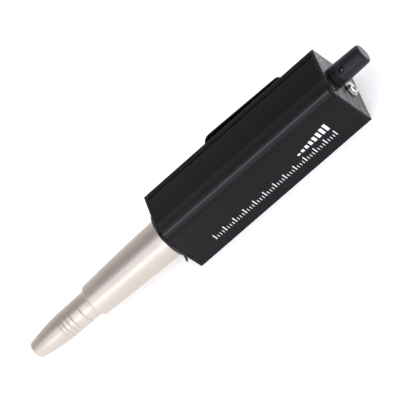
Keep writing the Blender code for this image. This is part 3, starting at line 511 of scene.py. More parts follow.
def moulded(name, colour, roughness, specular=0.5, grain_scale=2400, bare_end=None):
    """Moulded or blasted black: a fine grain with slow variation in its tone.

    bare_end is a place along X past which the surface is bare grey metal, as on a faced end.
    """
    finish = Finish(name, roughness, 0.0, specular)
    grain = finish.noise(grain_scale, 4)
    cloud = finish.noise(120, 2)
    tone = finish.mix(cloud.step(0.3, 0.7), shade(colour, 0.85), shade(colour, 1.15))
    tone = finish.mix(grain.step(0.55, 0.8) * 0.3, tone, shade(colour, 1.8))
    metallic = 0.0
    if bare_end is not None:
        metallic = finish.axes()[0].step(bare_end - 0.22 * MM, bare_end - 0.12 * MM)
        bare = finish.mix(cloud, (0.07, 0.07, 0.075, 1), (0.2, 0.2, 0.205, 1))
        tone = finish.mix(metallic, tone, bare)
    return finish.done(
        Base_Color=tone,
        Roughness=roughness - 0.06 + grain * 0.12,
        Metallic=metallic,
        Normal=finish.bump(grain, 0.03 * MM, 0.3),
    )


def plated(name, colour, roughness, blasted, turning):
    """Plated metal: a blasted grain, fine turning marks round X and cloudy wiping."""
    finish = Finish(name, roughness, 1.0)
    cloud = finish.noise(55, 3)
    grain = finish.noise(3400, 4)
    rings = finish.noise(3000, 2, (1, 0.012, 0.012))
    tone = finish.mix(cloud.step(0.25, 0.75), shade(colour, 0.95), shade(colour, 1.04))
    tone = finish.mix(grain.step(0.45, 0.8) * (0.35 * blasted), tone, shade(colour, 0.82))
    rough = roughness - 0.05 + cloud * 0.05 + grain * (0.08 * blasted)
    normal = finish.bump(grain, 0.02 * MM, 0.3 * blasted)
    normal = finish.bump(rings, 0.012 * MM, 0.3 * turning, normal)
    return finish.done(Base_Color=tone, Roughness=rough, Normal=normal)


def printed(name, colour):
    """Screen-printed ink: nearly flat, with a faint mesh and slightly thin spots."""
    finish = Finish(name, 0.5)
    thin = finish.noise(2600, 3).step(0.6, 0.9)
    tone = finish.mix(thin * 0.3, shade(colour, 1), shade(colour, 0.6))
    return finish.done(Base_Color=tone, Normal=finish.bump(finish.noise(5200, 1), 0.01 * MM, 0.2))


def board_finish(name, colour):
    """A green circuit board: copper traces and pads show lighter through its lacquer."""
    pitch = 1.1 * MM
    finish = Finish(name, 0.38)
    across = finish.axes()[2] + finish.noise(90, 1) * 0.006
    trace = abs(across.math("PINGPONG", across, pitch) - pitch / 2).step(0.18 * MM, 0.3 * MM)
    sockets = {"Vector": finish.place, "Scale": 420}
    pads = finish.add("ShaderNodeTexVoronoi", {"distance": "CHEBYCHEV"}, sockets)
    pad = 1 - pads.step(0.16, 0.2)
    tone = finish.mix((1 - trace) * 0.5, shade(colour, 1), shade(colour, 1.9))
    tone = finish.mix(pad, tone, (0.62, 0.60, 0.55, 1))
    height = (1 - trace) * 0.5 + pad
    return finish.done(
        Base_Color=tone,
        Roughness=0.36 + finish.noise(600, 2) * 0.1,
        Metallic=pad * 0.8,
        Normal=finish.bump(height, 0.04 * MM, 0.5),
    )


def sleeve_finish(name, colour):
    """A shrink sleeve on a cell: a plain two-tone wrap with a pale band at one end."""
    finish = Finish(name, 0.35, coat=0.3)
    band_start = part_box("battery_cell_1")[1].x - 10 * MM
    band = finish.axes()[0].step(band_start, band_start + 0.2 * MM)
    wrinkle = finish.noise(500, 2, (0.2, 1, 1))
    tone = finish.mix(band, shade(colour, 1), (0.42, 0.40, 0.36, 1))
    tone = finish.mix(wrinkle * 0.2, tone, shade(colour, 0.5))
    return finish.done(Base_Color=tone, Normal=finish.bump(wrinkle, 0.05 * MM, 0.2))


def drawn_wire(name, colour):
    """Soft wire insulation with a slight sheen and fine extrusion lines."""
    finish = Finish(name, 0.42)
    lines = finish.noise(2200, 2, (0.1, 1, 1))
    tone = finish.mix(lines * 0.3, shade(colour, 1), shade(colour, 0.7))
    return finish.done(Base_Color=tone, Normal=finish.bump(lines, 0.02 * MM, 0.25))


# Sizes and colours that a user would change


def size(name, description, default):
    return bpy.props.FloatProperty(
        name=name, description=description, default=default, min=0, precision=5, unit="LENGTH"
    )


def turn(name, description, default):
    angle = radians(default)
    return bpy.props.FloatProperty(name=name, description=description, default=angle, unit="ROTATION")


def amount(name, description, default):
    return bpy.props.FloatProperty(name=name, description=description, default=default, min=0)


def colour(name, description, default):
    return bpy.props.FloatVectorProperty(
        name=name, description=description, default=(*default, 1), size=4, min=0, max=1, subtype="COLOR"
    )


class CaseSettings(bpy.types.PropertyGroup):
    """The case, its cover and its end plates."""

    corner: size("Front edge", "Radius of the rounded upper front edge", 5 * MM)
    wall: size("Wall", "Thickness of the channel's walls", 1.5 * MM)
    bevel: size("Bevel", "Rounding of the sharp edges", 0.2 * MM)
    line: size("Drawn line", "From the front face to the faint line along the top", 9.05 * MM)
    joint: size("Joint line", "From the back face to the dark line along the sides", 3.1 * MM)
    polish: amount("Edge polish", "How much brighter the rounded edge reflects", 1.0)
    black: colour("Case black", "Colour of the channel and the cover", (0.0040, 0.0036, 0.0046))
    plate_grey: colour("Plate grey", "Colour of the end plates' brushed faces", (0.085, 0.085, 0.088))
    print_height: size("Print height", "Height of the scale's long marks on the front", 3.4 * MM)
    ink: colour("Ink", "Colour of the printed marks", (0.86, 0.86, 0.86))


class ScrewSettings(bpy.types.PropertyGroup):
    """The countersunk screws."""

    head: size("Head", "Radius of a screw's head", 1.9 * MM)
    head_depth: size("Head depth", "Depth of the countersunk head", 1.1 * MM)
    shank: size("Shank", "Radius of a screw's shank", 0.8 * MM)
    recess: size("Recess", "Reach of the cross recess from its middle", 1.15 * MM)
    recess_depth: size("Recess depth", "Depth of the cross recess", 0.75 * MM)
    nickel: colour("Nickel", "Colour of the nut, the pins and the inner screws", (0.74, 0.73, 0.71))
    dark: colour("Dark nickel", "Colour of the screws in the end plates and the cover", (0.24, 0.24, 0.245))


class ClipSettings(bpy.types.PropertyGroup):
    """The belt clip."""

    thickness: size("Thickness", "Thickness of the spring strip", 1 * MM)
    corner: size("Corners", "Radius of the free end's corners", 6 * MM)
    lip: size("Lip", "Outer radius of the turned-in lip", 2.5 * MM)
    lip_turn: turn("Lip turn", "How far the lip is turned in", 75)
    tilt: turn("Tilt", "How far the arm opens towards its free end", 1.9)
    black: colour("Clip black", "Colour of the clip", (0.0025, 0.0025, 0.0028))


class KnobSettings(bpy.types.PropertyGroup):
    """The volume knob and the headphone jack."""

    shaft: size("Shaft", "Radius of the control's shaft", 3 * MM)
    rounding: size("Rounding", "Rounding of the cap's end", 1.7 * MM)
    dome: size("Dome", "How far the cap's end bulges", 0.1 * MM)
    set_screw: size("Set screw", "Radius of the set screw", 1.1 * MM)
    set_screw_turn: turn("Set screw turn", "From +Z towards the front face", 38)
    bushing: size("Bushing", "Radius of the jack's threaded bushing", 3 * MM)
    bore: size("Bore", "Radius of the jack's bore", 1.8 * MM)
    jack_sink: size("Jack sink", "How much lower the jack's nut and bushing are finished", 0.6 * MM)
    cap: colour("Cap", "Colour of the knob's cap", (0.0075, 0.0075, 0.0100))
    base: colour("Base", "Colour of the knob's base ring", (0.004, 0.004, 0.005))
    steel: colour("Steel", "Colour of the shaft and the control", (0.45, 0.45, 0.46))


class SocketSettings(bpy.types.PropertyGroup):
    """The audio socket and its release latch."""

    bore: size("Bore", "Radius of the socket's bore", 9.6 * MM)
    wall: size("Wall", "Thickness of the socket's tube", 1.2 * MM)
    stem: size("Stem", "Radius of the insert's stem", 7.8 * MM)
    latch_width: size("Latch width", "Width of the latch strip", 5 * MM)
    latch_thickness: size("Latch thickness", "Thickness of the latch strip", 0.5 * MM)
    black: colour("Socket black", "Colour of the ring and the latch", (0.007, 0.007, 0.0075))
    insert: colour("Insert", "Colour of the moulded inserts", (0.012, 0.012, 0.012))
    brass: colour("Brass", "Colour of the contacts", (0.70, 0.52, 0.24))


class PlugSettings(bpy.types.PropertyGroup):
    """The cable plug and its strain relief boot."""

    nose: size("Nose", "Radius of the plug's nose", 9.3 * MM)
    nose_wall: size("Nose wall", "Thickness of the nose", 1.2 * MM)
    front: size("Front", "Radius of the shell at the socket", 9.7 * MM)
    rear: size("Rear", "Radius of the shell at its step", 8.05 * MM)
    bulge: size("Bulge", "Height of the shell's barrel over a straight taper", 0.22 * MM)
    boot: size("Boot", "Radius of the boot at the step", 6.63 * MM)
    waist: size("Waist", "Radius of the boot where it starts to fall off", 6.45 * MM)
    boot_end: size("Boot end", "Radius of the boot's end", 4.16 * MM)
    outlet: size("Outlet", "Radius of the cable outlet", 3.1 * MM)
    groove: size("Groove", "Depth of the boot's grooves", 0.28 * MM)
    nickel: colour("Satin nickel", "Colour of the shell and the boot", (0.64, 0.575, 0.51))


class StageSettings(bpy.types.PropertyGroup):
    """The floor, the light and the camera."""

    azimuth: turn("Azimuth", "Where the camera stands round the object", 22.62)
    elevation: turn("Elevation", "How high the camera stands", 39.74)
    roll: turn("Roll", "How far the camera leans", 56.03)
    distance: size("Distance", "From the camera to the case", 1.45)
    aim_left: size("Aim left", "How far left of the case the camera is aimed", 0.02445)
    aim_down: size("Aim down", "How far below the case the camera is aimed", 0.01783)
    lens: amount("Lens", "Focal length in millimetres", 301.0)
    floor: colour("Floor", "Colour of the floor", (0.90, 0.90, 0.90))
    floor_glow: amount("Floor glow", "Brightness of the light under the floor", 0.35)
    sky: amount("Sky", "Brightness of the studio's walls", 1.1)
    wash: amount("Wash", "Brightness of the light from above", 0.6)
    front_box: amount("Front softbox", "Brightness of the tall softbox in front", 2.1)
    strip: amount("Strip light", "Brightness of the narrow light above the softbox", 1.5)


GROUPS = {
    "case": CaseSettings,
    "screws": ScrewSettings,
    "clip": ClipSettings,
    "knob": KnobSettings,
    "socket": SocketSettings,
    "plug": PlugSettings,
    "stage": StageSettings,
}


class AmplifierSettings(bpy.types.PropertyGroup):
    """All of the amplifier's settings."""

    __annotations__ = {key: bpy.props.PointerProperty(type=group) for key, group in GROUPS.items()}


def settings(context):
    return context.scene.amplifier


# Pieces


class Build:
    """What the building operators share."""

    bl_options = {"REGISTER", "UNDO"}

    def execute(self, context):
        self.build(settings(context))
        return {"FINISHED"}


def case_finish(case):
    """The case's anodised finish, made once for the channel, its posts and the cover."""
    name = "case_black"
    low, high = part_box("case_channel")
    high = (high.x, HALF, high.z)
    return MADE.get(name) or anodised(name, case.black, 0.30, 0.15, low, high, case.polish, case.corner)


class AMPLIFIER_OT_channel(Build, bpy.types.Operator):
    """Three walls of the case with board rails, and its screw posts"""

    bl_idname = "amplifier.channel"
    bl_label = "Case channel"

    def build(self, chosen):
        case = chosen.case
        low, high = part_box("case_channel")
        inner = HALF - case.wall
        top = high.y
        centre = (case.corner - HALF, HALF - case.corner)
        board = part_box("circuit_board")
        rail, rail_height = 1.0 * MM, 1.3 * MM
        rails = [board[0].y - rail, board[0].y - SEAM, board[1].y + SEAM, board[1].y + rail]
        reach = inner - rail_height
        mouth, floor, depth = 0.40 * MM, 0.34 * MM, 0.6 * MM
        joint = HALF - case.joint
        scored = [(joint + mouth, 0), (joint + floor, depth), (joint - floor, depth), (joint - mouth, 0)]
        edge = 0.05 * MM
        lower = [(-HALF, centre[1]), (-HALF, -HALF, 0.2 * MM)]
        lower += [(y, sunk - HALF) for y, sunk in scored[::-1]]
        lower += [(top, -HALF, edge), (top, -inner)]
        for near, far in ((rails[3], rails[2]), (rails[1], rails[0])):
            lower += [(near, -inner), (near, -reach), (far, -reach), (far, -inner)]
        lower += [(-inner, -inner), (-inner, centre[1])]
        upper = [(centre[0], inner)]
        for near, far in ((rails[0], rails[1]), (rails[2], rails[3])):
            upper += [(near, inner), (near, reach), (far, reach), (far, inner)]
        line, line_half, line_depth = case.line - HALF, 0.35 * MM, 0.06 * MM
        upper += [(top, inner), (top, HALF, edge)]
        upper += [(y, HALF - sunk) for y, sunk in scored]
        upper += [(line + line_half, HALF), (line, HALF - line_depth), (line - line_half, HALF)]
        upper += [(centre[0], HALF)]
        outline = np.concatenate([
            circle_part(centre, case.corner, 90, 180, 32),
            softened(lower, closed=False)[1:-1],
            circle_part(centre, case.corner - case.wall, 180, 90, 16),
            softened(upper, closed=False)[1:-1],
        ])
        shells = [drawn(outline, low.x, high.x, case.bevel, across_x)]
        piece("channel_shell", shells, case_finish(case), "case", ["case_channel"])

        radius, bore, rounding = chosen.screws.head, chosen.screws.shank + FIT, 0.2 * MM
        posts = []
        for node in end_screw_nodes():
            place = middle(node)
            length = 14 * MM if place.y > 0 else 7 * MM
            end = high.x - FIT if place.x > 0 else low.x + FIT
            start = end - length if place.x > 0 else end + length
            corners = [(end, bore), (end, radius, rounding), (start, radius, rounding), (start, bore)]
            posts.append(turned(softened(corners, 2), (place.y, place.z), 24))
        piece("screw_posts", posts, case_finish(case), "case")


def end_screw_nodes():
    """The end plates' screws."""
    return [f"{end}_plate_screw_{number}" for end in ("knob", "socket") for number in (1, 2, 3, 4)]


def countersink(chosen, along, centre, axis, out, depth):
    """A cutter for a countersunk hole in a plate whose face lies at along, opening towards out."""
    head = chosen.screws.head + 0.12 * MM
    bore = chosen.screws.shank + FIT
    cone = [(0, head), (-chosen.screws.head_depth, bore)]
    profile = [(THROUGH, 0), (THROUGH, head), *cone, (-depth, bore), (-depth, 0)]
    points, faces = turned(profile, (0, 0), SMALL)
    return placed(points, along, centre, axis, out), faces


def placed(points, along, centre, axis, out):
    """Points made about X, put with their X along the given axis and pointing out, at (along, centre)."""
    points = points * (out, 1, out)  # turned half round where it points the other way
    if axis == "x":
        return points + (along, *centre)
    return points[:, (1, 0, 2)] * (-1, 1, 1) + (centre[0], along, centre[1])


class AMPLIFIER_OT_cover(Build, bpy.types.Operator):
    """The flat back cover with its countersunk holes"""

    bl_idname = "amplifier.cover"
    bl_label = "Back cover"

    def build(self, chosen):
        low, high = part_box("back_cover")
        corners = [(low.x, -HALF), (high.x, -HALF), (high.x, HALF), (low.x, HALF)]
        outline = softened([(*corner, RIM) for corner in corners])
        depth = high.y - low.y + THROUGH
        cutters = []
        for number in (1, 2, 3, 4):
            place = middle(f"cover_screw_{number}")
            cutters.append(countersink(chosen, high.y, (place.x, place.z), "y", 1, depth))
        for number in (1, 2):
            place = middle(f"clip_screw_{number}")
            points, faces = drill(-depth, THROUGH, chosen.screws.shank + FIT, steps=24)
            cutters.append((placed(points, high.y, (place.x, place.z), "y", 1), faces))
        shells = [drawn(outline, low.y, high.y, 0.1 * MM, across_y)]
        finish = case_finish(chosen.case)
        piece("cover_panel", shells, finish, "case", ["back_cover"], cutters)


class AMPLIFIER_OT_end_plates(Build, bpy.types.Operator):
    """Both end plates, with openings for the knob's shaft, the jack and the socket"""

    bl_idname = "amplifier.end_plates"
    bl_label = "End plates"

    def build(self, chosen):
        case = chosen.case
        centre = (case.corner - HALF, HALF - case.corner)
        sharp = [(y, z, RIM) for y, z in ((-HALF, -HALF), (HALF, -HALF), (HALF, HALF))]
        outline = np.concatenate([
            softened([(-HALF, centre[1]), *sharp, (centre[0], HALF)], closed=False)[1:-1],
            circle_part(centre, case.corner, 90, 180, 32),
        ])
        socket_radius = chosen.socket.bore + chosen.socket.wall + FIT
        openings = {
            "knob": [(chosen.knob.shaft + 2 * FIT, KNOB_Z), (chosen.knob.bushing + FIT, JACK_Z)],
            "socket": [(socket_radius, CASE_Z)],
        }
        finish = brushed_plate("plate_black", case.black, case.plate_grey, (SOCKET_FACE, KNOB_FACE))
        for end, round_openings in openings.items():
            low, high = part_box(f"{end}_end_plate")
            out, face = (1, KNOB_FACE) if end == "knob" else (-1, SOCKET_FACE)
            depth = high.x - low.x + THROUGH
            cutters = []
            for number in (1, 2, 3, 4):
                place = middle(f"{end}_plate_screw_{number}")
                cutters.append(countersink(chosen, face, (place.y, place.z), "x", out, depth))
            for radius, z in round_openings:
                cutters.append(drill(low.x - THROUGH, high.x + THROUGH, radius, (0, z), ROUND))
            shells = [drawn(outline, low.x, high.x, case.bevel, across_x)]
            piece(f"{end}_panel", shells, finish, "case", [f"{end}_end_plate"], cutters)


def screw_shell(screws, length, turned_by):
    """A countersunk screw along X, its head's face at 0.

    The face is lowered by recess_depth (1 - 0.5 m / recess) inside a cross, where m is the larger of |y| and
    |z| turned by an angle, and the cross holds the points whose smaller one is under half of the arms' width.
    """
    arm = 0.26 * MM
    pitch, ridge_height = 0.4 * MM, 0.07 * MM
    face = np.linspace(0, screws.head * 0.94, 22)
    edge = [(-0.06 * MM, screws.head), (-0.2 * MM, screws.head)]
    threads = np.arange(-screws.head_depth, -length + 0.3 * MM, -pitch / 2)
    ridge = screws.shank + ridge_height * (np.arange(len(threads)) % 2)
    tip = [(-length, screws.shank * 0.6), (-length, 0)]
    profile = [*zip(np.zeros(len(face)), face), *edge, *zip(threads, ridge), *tip]

    def recess(a, r, t):
        y, z = np.abs(r * np.cos(t + turned_by)), np.abs(r * np.sin(t + turned_by))
        least, most = np.minimum(y, z), np.maximum(y, z)
        side = np.clip((arm - least) / (0.12 * MM) + 0.5, 0, 1)
        reach = np.clip((screws.recess - most) / (0.15 * MM), 0, 1)
        return np.where(a == 0, -screws.recess_depth * side * reach * (1 - 0.5 * most / screws.recess), 0)

    return turned(profile, (0, 0), ROUND, along=recess)


class AMPLIFIER_OT_screws(Build, bpy.types.Operator):
    """Every countersunk screw, and the clip's screws from inside"""

    bl_idname = "amplifier.screws"
    bl_label = "Screws"

    def build(self, chosen):
        screws = chosen.screws
        bright = plated("bright_nickel", screws.nickel, 0.2, 0.35, 0.5)
        dark = plated("dark_nickel", screws.dark, 0.22, 0.35, 0.5)

        def add(name, node, shell, along, axis, out, finish):
            centre = middle(node).yz if axis == "x" else middle(node).xz
            shells = [(placed(shell[0], along, centre, axis, out), shell[1])]
            piece(name, shells, finish, "case", [node])

        for number, node in enumerate(end_screw_nodes()):
            low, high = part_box(node)
            out, face = (1, KNOB_FACE) if low.x > 0 else (-1, SOCKET_FACE)
            shell = screw_shell(screws, high.x - low.x, 0.4 + number * 1.7)
            name = node.replace("plate_screw", "panel_screw")
            add(name, node, shell, face - out * SUNK, "x", out, dark)
        for number in (1, 2, 3, 4):
            node = f"cover_screw_{number}"
            low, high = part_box(node)
            shell = screw_shell(screws, high.y - low.y, 0.9 + number * 2.3)
            add(f"back_screw_{number}", node, shell, high.y - SUNK, "y", 1, dark)
        for number in (1, 2):
            node = f"clip_screw_{number}"
            low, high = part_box(node)
            shell = pan_screw(screws, high.y - low.y)
            add(f"clip_rivet_screw_{number}", node, shell, high.y, "y", 1, bright)


def pan_screw(screws, length):
    """A pan-headed screw along X, its tip at 0 and its domed head at -length."""
    head = 1.2 * MM
    seat = head - length
    profile = softened([
        (0, 0), (0, screws.shank, 0.2 * MM), (seat, screws.shank), (seat, screws.head, 0.1 * MM),
        (-length, screws.head * 0.8, 0.5 * MM), (-length, 0),
    ], closed=False)
    return turned(profile, (0, 0), SMALL)


class AMPLIFIER_OT_print(Build, bpy.types.Operator):
    """Plain printed marks: a level scale on the front"""

    bl_idname = "amplifier.print"
    bl_label = "Printed marks"

    def build(self, chosen):
        case = chosen.case
        ink = printed("ink_white", case.ink)
        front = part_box("case_channel")[0].y
        film = 0.03 * MM
        ticks_foot, bars_foot = CASE_Z - 7.6 * MM, CASE_Z - 2.2 * MM
        shells = []

        def mark(x, half_width, foot, height):
            low = (x - half_width, front - film, foot)
            shells.append(block(low, (x + half_width, front + film, foot + height)))

        for number, x in enumerate(np.linspace(-35.6 * MM, 36.4 * MM, 49)):
            if number % 4 == 0:
                mark(x, 0.24 * MM, ticks_foot, case.print_height)
            else:
                mark(x, 0.16 * MM, ticks_foot, case.print_height * 0.55)
        for number, x in enumerate(np.linspace(18.6 * MM, 35.8 * MM, 8)):
            mark(x, 0.75 * MM, bars_foot, (1.0 + 0.5 * number) * MM)
        piece("front_scale", shells, ink, "case")


class AMPLIFIER_OT_clip(Build, bpy.types.Operator):
    """The belt clip, one spring strip from its base round the bend to its turned-in lip"""

    bl_idname = "amplifier.clip"
    bl_label = "Belt clip"

    def build(self, chosen):
        clip = chosen.clip
        base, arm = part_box("clip_base"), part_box("clip_arm")
        radius = arm[1].x - bend_x()
        line = radius - clip.thickness / 2
        bend = np.array((bend_x(), base[0].y + radius))
        half_width = (arm[1].z - arm[0].z) / 2
        free_end = lip_start(clip)
        lip_line = clip.lip - clip.thickness / 2

        start = np.stack([np.linspace(base[0].x, bend[0], 24), np.full(24, bend[1] - line)], -1)
        up = 90 - np.degrees(clip.tilt)
        curve = circle_part(bend, line, -90, up, 40)
        along = np.array((-cos(clip.tilt), sin(clip.tilt)))
        lip_x = free_end + clip.lip
        run = (curve[-1, 0] - lip_x) / -along[0]
        straight = curve[-1] + along * np.linspace(0, run, 90)[:, None]
        lip_centre = straight[-1] - np.array((sin(clip.tilt), cos(clip.tilt))) * lip_line
        lip = circle_part(lip_centre, lip_line, up, up + np.degrees(clip.lip_turn), 16)
        path = np.concatenate([start, curve[1:], straight[1:], lip[1:]])

        on_arm = np.arange(len(path)) >= len(start) + len(curve) - 1
        from_end = np.clip(path[:, 0] - free_end, 0, clip.corner)
        drawn_in = clip.corner - np.sqrt(clip.corner**2 - (clip.corner - from_end) ** 2)
        widths = np.where(on_arm, half_width - drawn_in, half_width)

        def place(u, v, w):
            return np.stack([u, v, CASE_Z + w], -1)

        cutters = []
        for number in (1, 2):
            x = middle(f"clip_screw_{number}").x
            points, faces = drill(-clip.thickness / 2, THROUGH, chosen.screws.shank + FIT, steps=24)
            cutters.append((placed(points, base[0].y, (x, CASE_Z), "y", 1), faces))
        finish = painted("clip_black", clip.black, 0.34, 0.25)
        nodes = ["clip_base", "clip_arm"]
        shells = [strip(path, widths, clip.thickness, place)]
        made = piece("clip_strip", shells, finish, None, nodes, cutters)
        hinge = bend[1]
        hinge - line
        hinge + line
        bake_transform(made)


def bend_x():
    """Where the clip's bend is centred: the axis of its joint."""
    joint = next(joint for joint in frame["joints"] if joint["name"] == "clip_flex")
    return joint["pos_m"][0]


def lip_start(clip):
    """The clip's free end if its lip were turned right round, from the node's end and the lip's turn."""
    last = pi / 2 - clip.tilt + clip.lip_turn
    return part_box("clip_arm")[0].x - clip.lip * (1 + cos(last))


class AMPLIFIER_OT_knob(Build, bpy.types.Operator):
    """The volume knob: its base ring, cap, set screw and shaft"""

    bl_idname = "amplifier.knob"
    bl_label = "Volume knob"

    def build(self, chosen):
        knob = chosen.knob
        centre = (0, KNOB_Z)
        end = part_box("knob_cap")[1].x
        cap_finish = moulded("knob_black", knob.cap, 0.38, 0.3, 3000, end)
        base_finish = moulded("knob_base_black", knob.base, 0.42, 0.3, 3000)
        steel = plated("plain_steel", knob.steel, 0.32, 0.8, 0.8)
        bore = knob.shaft + FIT

        low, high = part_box("knob_base_ring")
        radius = radius_of("knob_base_ring")
        groove = low.x + (high.x - low.x) * 0.52
        groove_end = groove + 0.45 * MM
        lip, bottom = radius - 0.1 * MM, radius - 0.55 * MM
        edge, fillet = 0.15 * MM, 0.1 * MM
        base = softened([
            (high.x, bore), (high.x, lip, edge), (groove_end, lip, fillet), (groove_end, bottom, fillet),
            (groove, bottom, fillet), (groove, radius, edge), (low.x, radius, edge), (low.x, bore),
        ], 3)
        piece("knob_ring", [turned(base, centre)], base_finish, "knob", ["knob_base_ring"])

        low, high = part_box("knob_cap")
        wide = radius_of("knob_cap")
        narrow = wide - 0.35 * MM
        shaft_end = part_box("pot_shaft")[1].x
        reach = np.linspace(0, narrow - knob.rounding, 12)
        face = np.stack([high.x - knob.dome * (reach / narrow) ** 2, reach], -1)
        side = softened([
            tuple(face[-1]), (high.x - knob.dome, narrow, knob.rounding), (low.x, wide, 0.2 * MM),
            (low.x, bore), (shaft_end + FIT, bore), (shaft_end + FIT, 0),
        ], 6, closed=False)
        cap = np.concatenate([face, side[1:]])
        angle = knob.set_screw_turn
        outwards = np.array((0, -sin(angle), cos(angle)))
        height = middle("knob_set_screw").x
        hole_radius = knob.set_screw + 0.15 * MM
        flare = [(wide + THROUGH, hole_radius + 2 * THROUGH), (wide - 0.5 * MM, hole_radius)]
        hole = [(wide + THROUGH, 0), *flare, (knob.shaft, hole_radius), (knob.shaft, 0)]
        cutters = [radial(turned(hole, (0, 0), SMALL), height, centre, outwards)]
        piece("knob_top", [turned(cap, centre)], cap_finish, "knob", ["knob_cap"], cutters)

        outer, inner = wide - 1.3 * MM, knob.shaft + FIT / 2
        grub = softened([
            (inner, 0), (inner, knob.set_screw, 0.1 * MM), (outer, knob.set_screw, 0.2 * MM), (outer, 0)
        ], 3, closed=False)
        shell = radial(turned(grub, (0, 0), SMALL), height, centre, outwards)
        hexagon = drill(outer - 0.8 * MM, outer + THROUGH, 0.62 * MM, steps=6)
        socket = radial(hexagon, height, centre, outwards)
        piece("knob_grub_screw", [shell], base_finish, "knob", ["knob_set_screw"], [socket])

        def splines(a, r, t):
            """18 grooves round the shaft, 0.12 mm deep."""
            return np.where(r > knob.shaft * 0.9, -0.06 * MM * (1 + np.cos(18 * t)), 0)

        low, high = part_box("pot_shaft")
        shaft = softened([
            (low.x, 0), (low.x, knob.shaft, 0.2 * MM), (high.x, knob.shaft, 0.4 * MM), (high.x, 0)
        ], closed=False)
        shells = [turned(shaft, centre, wave=splines)]
        piece("knurled_shaft", shells, steel, "knob", ["pot_shaft"])


def radial(shell, x, centre, outwards):
    """A shell made about X, turned so that its X points outwards from an axis along X at a height of x."""
    points, faces = shell
    other = np.cross(outwards, (1, 0, 0))
    turn_to = np.array([outwards, (1, 0, 0), -other])
    return points @ turn_to + (x, *centre), faces


class AMPLIFIER_OT_jack(Build, bpy.types.Operator):
    """The headphone jack: its body, threaded bushing, knurled nut and inner contact"""

    bl_idname = "amplifier.jack"
    bl_label = "Headphone jack"

    def build(self, chosen):
        knob = chosen.knob
        centre = (0, JACK_Z)
        nickel = plated("jack_nickel", chosen.screws.nickel, 0.16, 0.6, 0.8)
        low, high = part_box("headphone_jack")
        body_end = low.x + 12 * MM
        floor = low.x + 0.6 * MM
        moulding = moulded("moulding_black", chosen.socket.insert, 0.5)
        bore = drill(floor, body_end + THROUGH, knob.bore, centre)
        body = block(tuple(low), (body_end, high.y, high.z), 0.3 * MM)
        piece("jack_body", [body], moulding, "case", ["headphone_jack"], [bore])

        tip = high.x - knob.jack_sink
        pitch, thread_depth = 0.5 * MM, 0.12 * MM
        crests = np.arange(body_end + 0.1 * MM, tip - 0.5 * MM, pitch / 2)
        thread = [(x, knob.bushing - thread_depth * (number % 2)) for number, x in enumerate(crests)]
        bushing = softened([
            (body_end + 0.02 * MM, knob.bore), *thread, (tip, knob.bushing - 0.15 * MM, 0.12 * MM),
            (tip, knob.bore + 0.35 * MM, 0.15 * MM), (tip - 0.5 * MM, knob.bore),
        ], 3)
        piece("jack_bushing", [turned(bushing, centre)], nickel, "case")

        low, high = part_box("jack_nut")
        high.x -= knob.jack_sink
        radius = radius_of("jack_nut") * 0.9
        bore_radius = knob.bushing + 0.12 * MM
        edge = 0.05 * MM
        nut = softened([
            (high.x, bore_radius), (high.x, bore_radius + 0.45 * MM, edge),
            (high.x - 0.12 * MM, bore_radius + 0.55 * MM, edge),
            (high.x - edge, radius - 0.35 * MM, 2 * edge),
            (high.x - 0.45 * MM, radius, edge), (low.x + 0.2 * MM, radius, edge),
            (low.x, radius - 0.2 * MM, edge), (low.x, bore_radius),
        ], 3)

        def knurl(a, r, t):
            """30 teeth round the edge, 0.26 mm deep, growing from the face's rim to the edge."""
            share = np.clip((r - bore_radius - 0.6 * MM) / (0.3 * MM), 0, 1)
            return -0.26 * MM * share * np.abs(np.mod(t * 30 / pi, 2) - 1)

        shells = [turned(nut, centre, 240, knurl)]
        piece("jack_knurled_nut", shells, nickel, "case", ["jack_nut"])

        def place(u, v, w):
            return np.stack([u, v, JACK_Z + w], -1)

        steps = 14
        bow = 0.35 * MM + 0.5 * MM * np.sin(np.linspace(0, pi, steps)) - knob.bore
        spring = np.stack([np.linspace(floor + 2 * MM, floor + 6 * MM, steps), bow], -1)
        brass = plated("contact_brass", chosen.socket.brass, 0.25, 0.3, 0.4)
        shells = [strip(spring, np.full(steps, 0.6 * MM), 0.2 * MM, place)]
        piece("jack_spring", shells, brass, "case")


